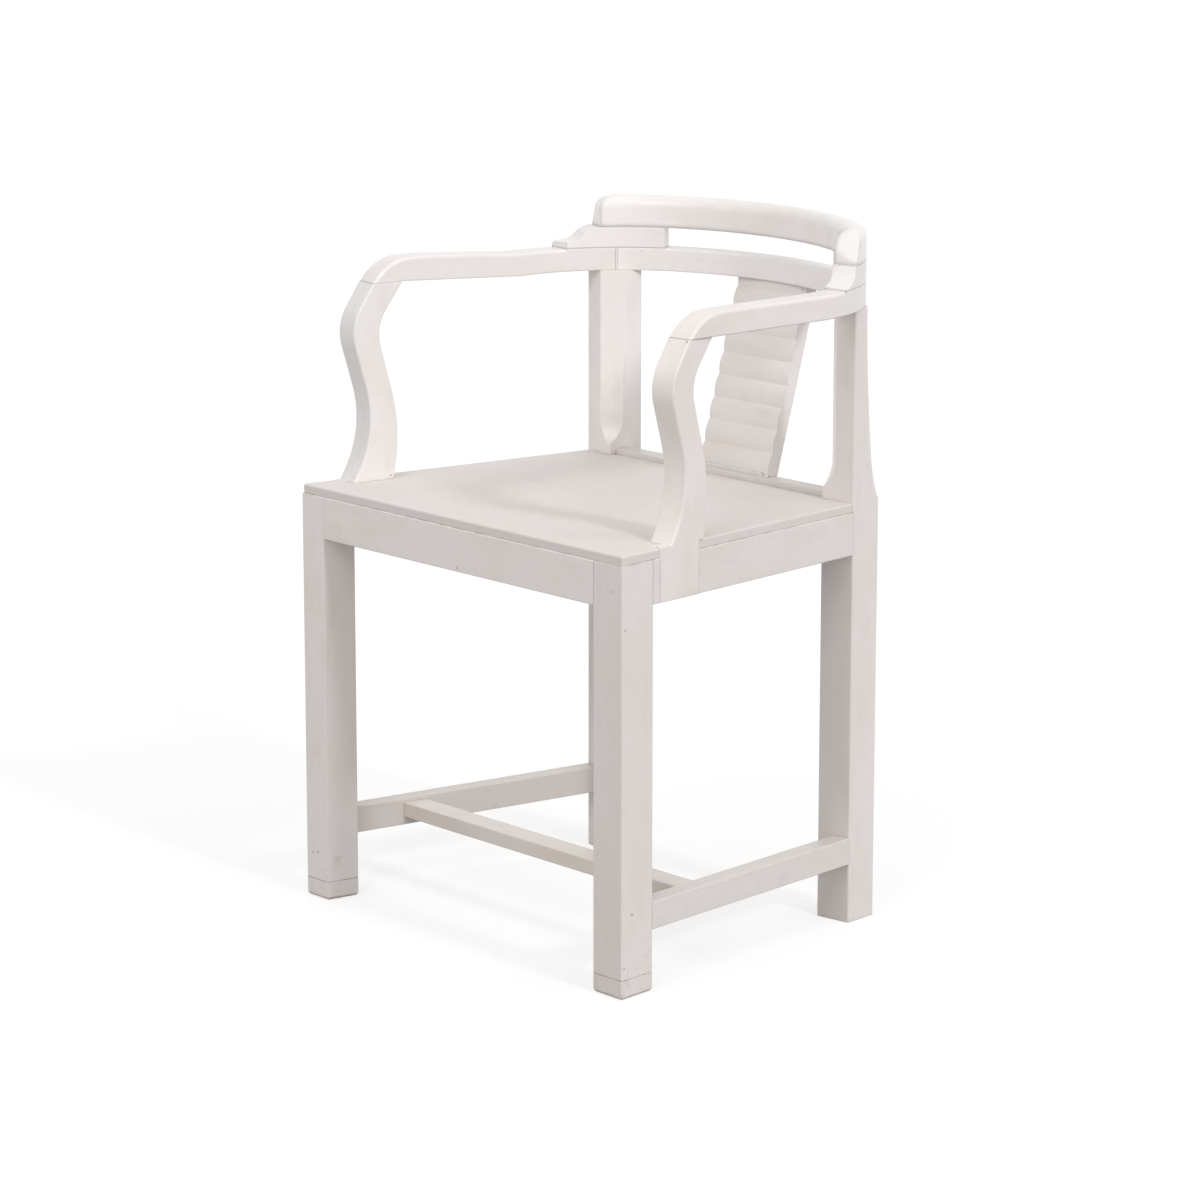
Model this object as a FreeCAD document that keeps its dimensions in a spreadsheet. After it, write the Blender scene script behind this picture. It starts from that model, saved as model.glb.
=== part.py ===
"""Horseshoe back armchair: a painted wooden chair whose arms and back make one flat horseshoe band.

The chair stands on z = 0 and faces -Y, with X towards the sitter's left. Heights are measured from
the floor and setbacks from the front faces of the front legs. The two sides close in towards the
back by the splay angle, so what stands in a side is drawn square to that side, in a frame that starts
at the outer front corner of the front leg. Places are written for the left side and mirrored.
"""
import FreeCAD, Part
import math
import os
import re
import Sketcher
from FreeCAD import Placement, Rotation, Vector

# Driving dimensions in millimetres and degrees, each with what it measures.
SIZES = (
    ("front_width", 499, "across the outer faces of the front legs"),
    ("back_width", 396.4, "across the rear outer corners of the back posts"),
    ("leg_depth", 393.6, "from the front faces to the rear outer corners of the back posts"),
    ("seat_height", 439.5, "top of the seat boards"),
    ("seat_thickness", 9.5, "thickness of the seat boards"),
    ("board_inset", 1.2, "seat boards in from the outer faces of the legs and aprons"),
    ("board_joint_setback", 190, "joint between the two seat boards"),
    ("apron_height", 44, "height of the seat frame under the boards"),
    ("apron_thickness", 22, "thickness of the front and side aprons"),
    ("left_leg_width", 42, "left front leg across its front face"),
    ("left_leg_depth", 45, "left front leg along the side"),
    ("right_leg_width", 36, "right front leg across its front face"),
    ("right_leg_depth", 38, "right front leg along the side"),
    ("foot_block_height", 19.5, "block spliced under each front leg"),
    ("foot_wear", 4, "rounding worn round the bottom of each foot block"),
    ("post_size", 41.6, "square of the back legs and posts"),
    ("post_tenon_radius", 7, "round tenon on top of each back post"),
    ("post_tenon_reach", 10, "how far that tenon rises into the shoe"),
    ("post_chamfer", 12.4, "depth of the chamfer on the inner front corner of each back post"),
    ("chamfer_stop_height", 10, "from the seat to where that chamfer starts"),
    ("chamfer_stop_length", 46, "length over which the chamfer runs out"),
    ("chamfer_stop_round", 40, "curve of the run-out"),
    ("tenon_length", 16, "tenons of the seat frame"),
    ("tenon_thickness", 9, "thickness of all rail tenons"),
    ("tenon_shoulder", 6, "shoulder above and below each tenon"),
    ("rail_inset", 8, "back seat rail behind the inner front corners of the back posts"),
    ("rail_thickness", 20, "thickness of the back seat rail"),
    ("rail_rise", 6, "how far the back seat rail stands above the seat"),
    ("cleat_size", 14, "square cleat under the back edge of the seat"),
    ("batten_width", 36, "cross batten under the joint of the seat boards"),
    ("batten_height", 16, "height of that batten"),
    ("arm_post_setback", 71.8, "left arm post at the seat, measured along the side"),
    ("right_arm_post_lead", 26.5, "how much nearer the front the right arm post stands"),
    ("arm_post_depth", 48.6, "arm posts at the seat, front to back"),
    ("left_arm_post_thickness", 28, "left arm post across"),
    ("right_arm_post_thickness", 30, "right arm post across"),
    ("left_toe", 16.3, "foot of the left arm post in front of the post"),
    ("right_toe", 4, "foot of the right arm post in front of the post"),
    ("heel_step", 7.4, "foot of the arm posts short of the post at the back"),
    ("lap_depth", 14, "foot of the arm posts let into the side apron"),
    ("right_arm_rise", 8.5, "how much higher the right arm is at its front end"),
    ("band_underside", 636, "underside of the horseshoe band"),
    ("band_height", 24, "depth of the horseshoe band"),
    ("arm_width", 29, "width of the arms"),
    ("bow_thinning", 6, "how much thinner the middle of the bow is than the arms"),
    ("bend_radius", 147, "inner radius of the bends beside the back posts"),
    ("bend_angle", 66, "turn of each bend before the flatter back begins"),
    ("elbow_angle", 50, "slope of the front ends of the arms"),
    ("shoe_height", 22, "blocks between the band and the crest rail"),
    ("left_shoe_toe", 26, "left shoe in front of the end of the crest rail"),
    ("right_shoe_toe", 41, "right shoe in front of the end of the crest rail"),
    ("crest_height", 33, "height of the crest rail"),
    ("crest_round", 11, "rounding over the top of the crest rail"),
    ("splat_width", 103.5, "width of the splat"),
    ("splat_thickness", 12, "thickness of the splat, front to back"),
    ("splat_tenon", 8, "length and thickness of the splat's tenons"),
    ("splat_foot_offset", 15.5, "middle of the splat's foot, towards the sitter's left"),
    ("splat_head_offset", -3.7, "middle of the splat's head, towards the sitter's left"),
    ("splat_foot_inset", 5, "splat's foot behind the front of the back seat rail"),
    ("splat_head_inset", 3.3, "splat's head behind the front of the bow"),
    ("ripple_pitch", 24, "height of each carved ripple on the splat"),
    ("ripple_depth", 2.6, "depth of the grooves between the ripples"),
    ("ripple_start", 2.8, "lowest groove above the splat's foot"),
    ("stretcher_bottom", 62, "underside of the side stretchers"),
    ("right_stretcher_lift", 1.5, "how much higher the right stretcher sits"),
    ("stretcher_height", 28, "height of the side stretchers"),
    ("stretcher_thickness", 21, "thickness of the side stretchers"),
    ("cross_setback", 104, "front face of the cross stretcher"),
    ("cross_width", 28, "width of the cross stretcher"),
    ("cross_bottom", 72, "underside of the cross stretcher"),
    ("cross_height", 16, "height of the cross stretcher"),
    ("cross_tenon", 12, "length of the cross stretcher's tenons"),
    ("dowel_radius", 3.5, "dowels in the feet and the crest rail"),
    ("dowel_reach", 12, "depth of a dowel in each piece that it joins"),
    ("peg_radius", 3, "pegs in the arm post feet and under the seat"),
    ("peg_reach", 6, "depth of a peg in the thinner piece"),
    ("seat_peg_drop", 14, "depth of a seat peg in the rail under it"),
    ("edge_round", 2, "softened edges of legs, posts and seat"),
    ("rail_round", 1.2, "softened edges of rails and stretchers"),
    ("joint_ease", 0.6, "eased edges where two pieces meet in one face"),
    ("arm_round", 3.5, "rounded upper edges of the arms and the bow"),
    ("clearance", 0.2, "room round a dowel and past the end of a tenon"),
    ("overrun", 5, "how far a cut runs past what it cuts"),
    ("snap", 0.01, "two places nearer than this are the same"),
)

# Places round the bends beside the back posts, as shares of the turn of a bend: the joint of arm and
# bow, the two ends of the crest rail and the inner ends of the shoes.
SEAM_SHARE = 0.59
LEFT_CREST_END_SHARE = 0.41
RIGHT_CREST_END_SHARE = 0.482
LEFT_SHOE_END_SHARE = 0.99
RIGHT_SHOE_END_SHARE = 0.89

# How far the foot of an arm post falls back towards its front, as a share of its toe.
TOE_SHARE = 0.1

# Where things come together, worked out from the sizes above.
PLACES = (
    ("splay", "atan2((front_width - back_width) / 2; leg_depth)"),
    ("side_run", "sqrt(((front_width - back_width) / 2)^2 + leg_depth^2)"),
    ("post_front", "side_run - post_size"),
    ("post_x", "front_width / 2 - (side_run - post_size / 2) * sin(splay) - post_size / 2 * cos(splay)"),
    ("post_y", "(side_run - post_size / 2) * cos(splay) - post_size / 2 * sin(splay)"),
    ("apron_top", "seat_height - seat_thickness"),
    ("apron_bottom", "apron_top - apron_height"),
    ("rail_top", "seat_height + rail_rise"),
    ("rail_setback", "post_front * cos(splay) - post_size * sin(splay) + rail_inset"),
    ("rail_end_x", "front_width / 2 - post_size / cos(splay) - rail_setback * tan(splay)"),
    ("band_top", "band_underside + band_height"),
    ("crest_bottom", "band_top + shoe_height"),
    ("post_rise", "band_underside - seat_height"),
    ("bend_outer", "bend_radius + arm_width"),
    ("bend_middle", "bend_radius + arm_width / 2"),
    ("seam_angle", f"bend_angle * {SEAM_SHARE}"),
    ("left_crest_end_angle", f"bend_angle * {LEFT_CREST_END_SHARE}"),
    ("right_crest_end_angle", f"bend_angle * {RIGHT_CREST_END_SHARE}"),
    ("left_shoe_end_angle", f"bend_angle * {LEFT_SHOE_END_SHARE}"),
    ("right_shoe_end_angle", f"bend_angle * {RIGHT_SHOE_END_SHARE}"),
    ("left_shoe_toe_angle", "left_crest_end_angle - left_shoe_toe / bend_middle * 1 rad"),
    ("right_shoe_toe_angle", "right_crest_end_angle - right_shoe_toe / bend_middle * 1 rad"),
    ("bend_x", "post_x - bend_middle * cos(seam_angle)"),
    ("bend_y", "post_y - bend_middle * sin(seam_angle)"),
    ("bend_inner_y", "bend_y + bow_thinning / 2"),
    ("bend_outer_y", "bend_y - bow_thinning / 2"),
    ("bow_growth", "bend_x / cos(bend_angle)"),
    ("bow_front", "bend_inner_y - bend_x * tan(bend_angle) + bow_growth + bend_radius"),
    ("bow_back", "bend_outer_y - bend_x * tan(bend_angle) + bow_growth + bend_outer"),
    ("splat_rise", "band_underside - rail_top"),
    ("splat_foot_y", "rail_setback + splat_foot_inset"),
    ("splat_lean", "atan2(bow_front + splat_head_inset - splat_foot_y; splat_rise)"),
    ("toe_angle", f"atan({TOE_SHARE})"),
)
ANGLES = {name for name, rule in PLACES if name.endswith(("angle", "splay", "lean"))}
DEGREES = {"bend_angle", "elbow_angle"}

# The S of an arm post: each place as a share of its depth at the seat and of its rise to the arm,
# with the round there as a share of the rise squared over the depth, so that a lower post bends tighter.
POST_REAR_SHARES = ((1.187, 0.267, 0.2135), (0.599, 0.782, 0.0502))
POST_FRONT_SHARES = ((-0.053, 0.787, 0.0566), (0.613, 0.246, 0.1318))
POST_TOP_SHARES = (0.535, 1.257)

# The rounded outer rear corner of a back post above the seat: share of the rise, share of the square.
POST_ROUND_SHARES = ((0, 0.05), (0.1, 0.34), (0.22, 0.5), (0.42, 0.65), (0.67, 0.77),
                     (0.84, 0.82), (1, 0.83))

# The curve over the front end of an arm takes this share of its sloping front.
ELBOW_SHARE = 0.82

# The front of a shoe, a hollow on the left and a step on the right: shares of its toe and of its
# height, with the round there as a share of the toe.
SHOE_TOE_SHARES = {"left": ((0, 0, 0), (0, 0.05, 0), (0.3, 0.08, 1), (0.82, 0.36, 0.6), (1, 1, 0)),
                   "right": ((0, 0, 0), (0.03, 0.27, 0.1), (0.5, 0.4, 0.3), (0.74, 0.84, 0.3), (1, 1, 0))}

# The end of the crest rail as it goes up, in shares of the rail's height: back along the rail, up,
# and the round there.
CREST_END_SHARES = {"left": ((0, 0, 0), (0.3, 0.8, 0.5), (1, 1.04, 0)),
                    "right": ((0, 0, 0), (0.16, 0.9, 0.5), (0.9, 1.03, 0))}

# Pegs and dowels, as shares of the stretch that they stand in.
SEAT_PEG_SHARES = (0.15, 0.5, 0.85)
FOOT_PEG_SHARES = (0.25, 0.75)
CREST_DOWEL_SHARES = (0.1, 0.86)

SIDES = {"left": 1, "right": -1}

doc = FreeCAD.newDocument("horseshoe_back_armchair")
sheet = doc.addObject("Spreadsheet::Sheet", "Sizes")
for row, (name, value, meaning) in enumerate(SIZES, 1):
    sheet.set(f"A{row}", name)
    sheet.set(f"B{row}", str(value))
    sheet.set(f"C{row}", meaning)
    sheet.setAlias(f"B{row}", name)
doc.recompute()

SIZE_NAMES = {name for name, value, meaning in SIZES}
PLACE_NAMES = {name for name, rule in PLACES}


def bound(rule):
    """A rule in plain names as an expression on the sheet and on the worked-out places."""
    def owner(match):
        word = match.group(0)
        if word in DEGREES:
            return f"(Sizes.{word} * 1 deg)"
        if word in SIZE_NAMES:
            return f"Sizes.{word}"
        if word in PLACE_NAMES:
            return f"Places.{word}"
        return word
    return re.sub(r"[A-Za-z_]+", owner, str(rule))


places = doc.addObject("App::VarSet", "Places")
for name, rule in PLACES:
    places.addProperty("App::PropertyAngle" if name in ANGLES else "App::PropertyFloat", name, "Places")
    places.setExpression(name, bound(rule))
doc.recompute()


def value_of(rule):
    """The number that a rule gives now, in millimetres or degrees."""
    result = sheet.evalExpression(bound(rule))
    return float(getattr(result, "Value", result))


NODES = []


def new_body(name, side=0):
    """A piece of the chair. With a side, its frame starts at that front leg's outer corner."""
    body = doc.addObject("PartDesign::Body", name)
    body.Label = name
    if side:
        body.Placement = Placement(Vector(), Rotation(Vector(0, 0, side), 1))
        body.setExpression("Placement.Rotation.Angle", bound("splay"))
        body.setExpression("Placement.Base.x", bound(f"{side} * front_width / 2"))
    body.setExpression("Placement.Base.y", bound("-bow_back / 2"))
    NODES.append(body)
    return body


def new_sketch(body, name, plane, lift=None):
    """A sketch on one of the body's own planes, raised along that plane's normal."""
    sketch = body.newObject("Sketcher::SketchObject", name)
    support = [feature for feature in body.Origin.OriginFeatures if feature.Role == plane]
    sketch.AttachmentSupport = [(support[0], "")]
    sketch.MapMode = "FlatFace"
    if lift is not None:
        sketch.setExpression("AttachmentOffset.Base.z", bound(lift))
    return sketch


def go(x, y, soft=None):
    """A corner reached by a straight line, rounded where soft gives a radius."""
    return {"x": x, "y": y, "soft": soft, "radius": None, "turn": 0}


def bend(x, y, radius, turn):
    """A place reached by an arc, which turns left for 1 and right for -1."""
    return {"x": x, "y": y, "soft": None, "radius": radius, "turn": turn}


def fix(sketch, kind, *parts):
    """Adds a constraint whose last part is a rule, and binds it to that rule."""
    index = sketch.addConstraint(Sketcher.Constraint(kind, *parts[:-1], value_of(parts[-1])))
    sketch.setExpression(f"Constraints[{index}]", bound(parts[-1]))


def arc_between(start, end, radius, turn):
    """The shorter arc of that radius from start to end, always stored counterclockwise."""
    chord = end - start
    half = chord.Length / 2
    height = math.sqrt(max(radius * radius - half * half, 0))
    across = Vector(-chord.y, chord.x, 0).normalize()
    centre = (start + end) / 2 + across * (height * turn)
    first, last = (start, end) if turn > 0 else (end, start)
    angles = [math.atan2(spot.y - centre.y, spot.x - centre.x) for spot in (first, last)]
    if angles[1] < angles[0]:
        angles[1] += 2 * math.pi
    return Part.ArcOfCircle(Part.Circle(centre, Vector(0, 0, 1), radius), *angles)


def draw(sketch, corners, side=1):
    """Draws a closed outline. Side -1 mirrors it left to right."""
    count = len(corners)
    rules = [(f"{side} * ({corner['x']})", corner["y"]) for corner in corners]
    spots = [Vector(value_of(x), value_of(y), 0) for x, y in rules]
    arrive = list(spots)
    leave = list(spots)
    for i, corner in enumerate(corners):
        if corner["soft"]:
            back = (spots[i - 1] - spots[i]).normalize()
            ahead = (spots[(i + 1) % count] - spots[i]).normalize()
            reach = value_of(corner["soft"]) / math.tan(back.getAngle(ahead) / 2)
            arrive[i] = spots[i] + back * reach
            leave[i] = spots[i] + ahead * reach
    segments = []
    for i, corner in enumerate(corners):
        turn = corner["turn"] * side
        if turn:
            arc = arc_between(leave[i - 1], arrive[i], value_of(corner["radius"]), turn)
            segment = sketch.addGeometry(arc, False)
            segments.append((segment, 1, 2) if turn > 0 else (segment, 2, 1))
        else:
            segments.append((sketch.addGeometry(Part.LineSegment(leave[i - 1], arrive[i]), False), 1, 2))
    for i, corner in enumerate(corners):
        here, here_start, here_end = segments[i]
        after, after_start, after_end = segments[(i + 1) % count]
        if corner["soft"]:
            swing = (spots[i] - spots[i - 1]).cross(spots[(i + 1) % count] - spots[i]).z
            radius = value_of(corner["soft"])
            arc = sketch.addGeometry(arc_between(arrive[i], leave[i], radius, 1 if swing > 0 else -1), False)
            first, last = (1, 2) if swing > 0 else (2, 1)
            sketch.addConstraint(Sketcher.Constraint("Tangent", here, here_end, arc, first))
            sketch.addConstraint(Sketcher.Constraint("Tangent", arc, last, after, after_start))
            target = sketch.addGeometry(Part.Point(spots[i]), True)
            sketch.addConstraint(Sketcher.Constraint("PointOnObject", target, 1, here))
            sketch.addConstraint(Sketcher.Constraint("PointOnObject", target, 1, after))
            fix(sketch, "Radius", arc, corner["soft"])
            place = (target, 1)
        else:
            sketch.addConstraint(Sketcher.Constraint("Coincident", here, here_end, after, after_start))
            place = (here, here_end)
        fix(sketch, "DistanceX", -1, 1, *place, rules[i][0])
        fix(sketch, "DistanceY", -1, 1, *place, rules[i][1])
        if corner["turn"]:
            fix(sketch, "Radius", here, corner["radius"])


def pad(body, name, sketch, length, reverse=False, both_ways=False):
    """Thickens a sketch into wood."""
    feature = body.newObject("PartDesign::Pad", name)
    feature.Profile = sketch
    feature.setExpression("Length", bound(length))
    feature.Reversed = reverse
    if both_ways:
        feature.SideType = "Symmetric"
    return feature


def cut_through(body, name, sketch):
    """Cuts a sketch right through, both ways."""
    feature = body.newObject("PartDesign::Pocket", name)
    feature.Profile = sketch
    feature.Type = "ThroughAll"
    feature.SideType = "Symmetric"
    return feature


def place_feature(feature, at, side, turn, about):
    """Puts a feature at a place of the left side, in a frame turned about a point, or mirrors it."""
    x, y, z = at
    if turn is None:
        rules = (f"{side} * ({x})", y, z)
    else:
        feature.Placement = Placement(Vector(), Rotation(Vector(0, 0, side * turn[0]), 1))
        feature.setExpression("Placement.Rotation.Angle", bound(turn[1]))
        lean = f"({turn[0]} * ({turn[1]}))"
        rules = (f"{side} * ({about[0]}) + ({side} * ({x})) * cos({lean}) - ({side} * ({y})) * sin({lean})",
                 f"{about[1]} + ({x}) * sin({lean}) + ({y}) * cos({lean})", z)
    for axis, rule in zip("xyz", rules):
        feature.setExpression(f"Placement.Base.{axis}", bound(rule))


def block(body, name, kind, low, size, side=1, turn=None, about=(0, 0)):
    """Adds or cuts a box from its lowest corner, given for the left side."""
    feature = body.newObject(f"PartDesign::{kind}Box", name)
    for prop, rule in zip(("Length", "Width", "Height"), size):
        feature.setExpression(prop, bound(rule))
    x, y, z = low
    if side < 0:
        x = f"({x}) + ({size[0]})"
    place_feature(feature, (x, y, z), side, turn, about)
    return feature


def rod(body, name, kind, radius, height, foot, side=1):
    """Adds or cuts an upright round."""
    feature = body.newObject(f"PartDesign::{kind}Cylinder", name)
    feature.setExpression("Radius", bound(radius))
    feature.setExpression("Height", bound(height))
    place_feature(feature, foot, side, None, None)
    return feature


def round_over(body, name, radius, wanted):
    """Rounds the edges that the test picks from the piece as it is so far."""
    doc.recompute()
    base = body.Tip
    edges = [f"Edge{i}" for i, edge in enumerate(base.Shape.Edges, 1) if wanted(edge)]
    feature = body.newObject("PartDesign::Fillet", name)
    feature.Base = (base, edges)
    feature.setExpression("Radius", bound(radius))
    return feature


def level(edge, height):
    """True for an edge that lies level at that height."""
    box = edge.BoundBox
    snap = value_of("snap")
    return abs(box.ZMin - height) < snap and abs(box.ZMax - height) < snap


def side_local(x, y):
    """A place of the plan, on the left side, in the frame of that side."""
    return (f"(({x}) - front_width / 2) * cos(splay) + ({y}) * sin(splay)",
            f"-(({x}) - front_width / 2) * sin(splay) + ({y}) * cos(splay)")


def plan_of(x, y):
    """A place in the frame of the left side, in the plan."""
    return (f"front_width / 2 + ({x}) * cos(splay) - ({y}) * sin(splay)",
            f"({x}) * sin(splay) + ({y}) * cos(splay)")


def inner_curve(angle):
    """A place on the inner line of the band, by its angle round the bend."""
    return f"bend_x + bend_radius * cos({angle})", f"bend_inner_y + bend_radius * sin({angle})"


def outer_curve(angle):
    """A place on the outer line of the band, by its angle round the bend."""
    return f"bend_x + bend_outer * cos({angle})", f"bend_outer_y + bend_outer * sin({angle})"


def horseshoe(left_end, right_end):
    """The plan of a piece that runs round the back between its two end angles."""
    def mirrored(place):
        return f"-({place[0]})", place[1]
    inner_bend, outer_bend = inner_curve("bend_angle"), outer_curve("bend_angle")
    return [
        go(*mirrored(inner_curve(right_end))),
        bend(*mirrored(inner_bend), "bend_radius", -1),
        bend(*inner_bend, "bend_radius + bow_growth", -1),
        bend(*inner_curve(left_end), "bend_radius", -1),
        go(*outer_curve(left_end)),
        bend(*outer_bend, "bend_outer", 1),
        bend(*mirrored(outer_bend), "bend_outer + bow_growth", 1),
        bend(*mirrored(outer_curve(right_end)), "bend_outer", 1),
    ]


def sector(start, end, where=lambda x, y: (x, y)):
    """The plan of a piece of the band between two angles round the bend on the left."""
    return [go(*where(*outer_curve(start))), bend(*where(*outer_curve(end)), "bend_outer", 1),
            go(*where(*inner_curve(end))), bend(*where(*inner_curve(start)), "bend_radius", -1)]


def leg_outline(width, depth):
    """Section of a front leg: its front face along X, its outer face along the side."""
    inner = (f"-{width} * cos(splay)", f"{width} * sin(splay)")
    return [go("0", "0", "edge_round"), go("0", depth, "joint_ease"),
            go(inner[0], f"{inner[1]} + {depth}", "edge_round"), go(*inner, "joint_ease")]


def leg_middle(width, depth):
    """Middle of a front leg's section."""
    return f"-{width} * cos(splay) / 2", f"{width} * sin(splay) / 2 + {depth} / 2"


def front_leg(word, side):
    """A front leg, mortised for the front apron, the side apron and the side stretcher."""
    width, depth = f"{word}_leg_width", f"{word}_leg_depth"
    body = new_body(f"front_{word}_leg", side)
    section = new_sketch(body, f"{word}_leg_section", "XY_Plane", "foot_block_height")
    draw(section, leg_outline(width, depth), side)
    pad(body, f"{word}_leg_wood", section, "apron_top - foot_block_height")
    ends = (value_of("foot_block_height"), value_of("apron_top"))
    round_over(body, f"{word}_leg_ends", "joint_ease", lambda edge: any(level(edge, z) for z in ends))
    block(body, f"{word}_front_mortise", "Subtractive",
          (f"-{width} - apron_thickness", "(apron_thickness - tenon_thickness) / 2",
           "apron_bottom + tenon_shoulder"),
          ("apron_thickness + tenon_length + clearance", "tenon_thickness",
           "apron_height - 2 * tenon_shoulder"), side, (-1, "splay"))
    block(body, f"{word}_side_mortise", "Subtractive",
          ("-(apron_thickness + tenon_thickness) / 2", f"{depth} - tenon_length - clearance",
           "apron_bottom + tenon_shoulder"),
          ("tenon_thickness", "apron_thickness + tenon_length", "apron_height - 2 * tenon_shoulder"), side)
    bottom = stretcher_bottom(side)
    block(body, f"{word}_stretcher_mortise", "Subtractive",
          ("-(stretcher_thickness + tenon_thickness) / 2", f"{depth} - tenon_length - clearance",
           f"{bottom} + tenon_shoulder"),
          ("tenon_thickness", "stretcher_thickness + tenon_length",
           "stretcher_height - 2 * tenon_shoulder"), side)
    rod(body, f"{word}_foot_bore", "Subtractive", "dowel_radius + clearance", "dowel_reach",
        (*leg_middle(width, depth), "foot_block_height"), side)
    return body


def stretcher_bottom(side):
    """Underside of the stretcher on that side."""
    return "stretcher_bottom" if side > 0 else "(stretcher_bottom + right_stretcher_lift)"


def foot_block(word, side):
    """The worn block under a front leg."""
    width, depth = f"{word}_leg_width", f"{word}_leg_depth"
    body = new_body(f"front_{word}_foot_block", side)
    section = new_sketch(body, f"{word}_foot_section", "XY_Plane")
    draw(section, leg_outline(width, depth), side)
    pad(body, f"{word}_foot_wood", section, "foot_block_height")
    round_over(body, f"{word}_foot_wear", "foot_wear", lambda edge: level(edge, 0))
    top = value_of("foot_block_height")
    round_over(body, f"{word}_foot_top", "joint_ease", lambda edge: level(edge, top))
    rod(body, f"{word}_block_bore", "Subtractive", "dowel_radius + clearance", "dowel_reach",
        (*leg_middle(width, depth), "foot_block_height - dowel_reach"), side)
    return body


def back_post(word, side):
    """A back leg and the post above it in one length, with its chamfer and its rounded corner."""
    body = new_body(f"back_{word}_post", side)

    def square(outer_rear):
        return [go("0", "post_front", "edge_round"), go("0", "side_run", outer_rear),
                go("-post_size", "side_run", "edge_round"), go("-post_size", "post_front", "edge_round")]

    section = new_sketch(body, f"{word}_post_section", "XY_Plane")
    draw(section, square("edge_round"), side)
    pad(body, f"{word}_post_leg", section, "seat_height")
    sections = []
    for number, (rise_share, round_share) in enumerate(POST_ROUND_SHARES):
        ring = new_sketch(body, f"{word}_post_ring_{number}", "XY_Plane",
                          f"seat_height + {rise_share} * post_rise")
        draw(ring, square(f"{round_share} * post_size"), side)
        sections.append(ring)
    upper = body.newObject("PartDesign::AdditiveLoft", f"{word}_post_upper")
    upper.Profile = sections[0]
    upper.Sections = sections[1:]
    upper.Ruled = False

    stop = new_sketch(body, f"{word}_chamfer_line", "YZ_Plane")
    stop.AttachmentOffset = Placement(Vector(), Rotation(Vector(0, -side, 0), 45))
    stop.setExpression("AttachmentOffset.Base.x", bound("post_front"))
    stop.setExpression("AttachmentOffset.Base.z", bound(f"{-side} * post_size"))
    start = "seat_height + chamfer_stop_height"
    draw(stop, [go("-overrun", start), go("0", start),
                go("post_chamfer", f"{start} + chamfer_stop_length / 4", "chamfer_stop_round"),
                go("post_chamfer", "band_underside + overrun"), go("-overrun", "band_underside + overrun")])
    cut_through(body, f"{word}_chamfer", stop)

    rod(body, f"{word}_post_tenon", "Additive", "post_tenon_radius",
        "band_height + post_tenon_reach + overrun",
        ("-post_size / 2", "side_run - post_size / 2", "band_underside - overrun"), side)
    block(body, f"{word}_rear_side_mortise", "Subtractive",
          ("-(apron_thickness + tenon_thickness) / 2", "post_front - overrun",
           "apron_bottom + tenon_shoulder"),
          ("tenon_thickness", "overrun + tenon_length + clearance", "apron_height - 2 * tenon_shoulder"),
          side)
    block(body, f"{word}_rear_stretcher_mortise", "Subtractive",
          ("-(stretcher_thickness + tenon_thickness) / 2", "post_front - overrun",
           f"{stretcher_bottom(side)} + tenon_shoulder"),
          ("tenon_thickness", "overrun + tenon_length + clearance",
           "stretcher_height - 2 * tenon_shoulder"), side)
    block(body, f"{word}_rail_mortise", "Subtractive",
          ("rail_end_x - front_width / 2 - rail_thickness",
           "rail_setback + (rail_thickness - tenon_thickness) / 2", "apron_bottom + tenon_shoulder"),
          ("rail_thickness + tenon_length + clearance", "tenon_thickness",
           "rail_top - apron_bottom - 2 * tenon_shoulder"), side, (-1, "splay"))
    return body


def front_apron():
    """The front rail of the seat frame, between the front legs."""
    body = new_body("front_apron")
    plan = new_sketch(body, "front_apron_plan", "XY_Plane", "apron_bottom")
    left, right = "(front_width / 2 - left_leg_width)", "(front_width / 2 - right_leg_width)"
    slant = "apron_thickness * tan(splay)"
    draw(plan, [go(left, "0"), go(f"{left} - {slant}", "apron_thickness"),
                go(f"-{right} + {slant}", "apron_thickness"), go(f"-{right}", "0")])
    pad(body, "front_apron_wood", plan, "apron_height")
    heights = (value_of("apron_bottom"), value_of("apron_top"))
    round_over(body, "front_apron_edges", "rail_round",
               lambda edge: edge.BoundBox.YLength < value_of("snap") and any(level(edge, z) for z in heights))
    for word, side in SIDES.items():
        shoulder = left if side > 0 else right
        block(body, f"front_apron_{word}_tenon", "Additive",
              (f"{shoulder} - apron_thickness", "(apron_thickness - tenon_thickness) / 2",
               "apron_bottom + tenon_shoulder"),
              ("apron_thickness + tenon_length", "tenon_thickness",
               "apron_height - 2 * tenon_shoulder"), side)
    for number, (x, y) in enumerate(front_peg_places()):
        seat_peg_hole(body, f"front_apron_peg_hole_{number}", x, y, "apron_top - seat_peg_drop")
    return body


def front_peg_places():
    """Pegs between the front board and the front apron, in the plan."""
    left, right = "(front_width / 2 - left_leg_width)", "(front_width / 2 - right_leg_width)"
    return [(f"-{right} + {share} * ({left} + {right})", "apron_thickness / 2") for share in SEAT_PEG_SHARES]


def side_peg_places():
    """Pegs between the boards and a side apron, behind the arm post, in the frame of the side."""
    start = "(arm_post_setback + arm_post_depth)"
    return [("-apron_thickness / 2", f"{start} + {share} * (post_front - {start})")
            for share in SEAT_PEG_SHARES]


def seat_peg_hole(body, name, x, y, z, side=1, depth="seat_peg_drop"):
    """A blind hole for one seat peg."""
    return rod(body, name, "Subtractive", "peg_radius + clearance", depth, (x, y, z), side)


def post_base(side):
    """Front of an arm post at the seat, along its side."""
    return "arm_post_setback" if side > 0 else "(arm_post_setback - right_arm_post_lead)"


def post_foot(word, side):
    """Front and back of an arm post's foot, along its side."""
    base = post_base(side)
    return f"({base} - {word}_toe)", f"({base} + arm_post_depth - heel_step)"


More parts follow.
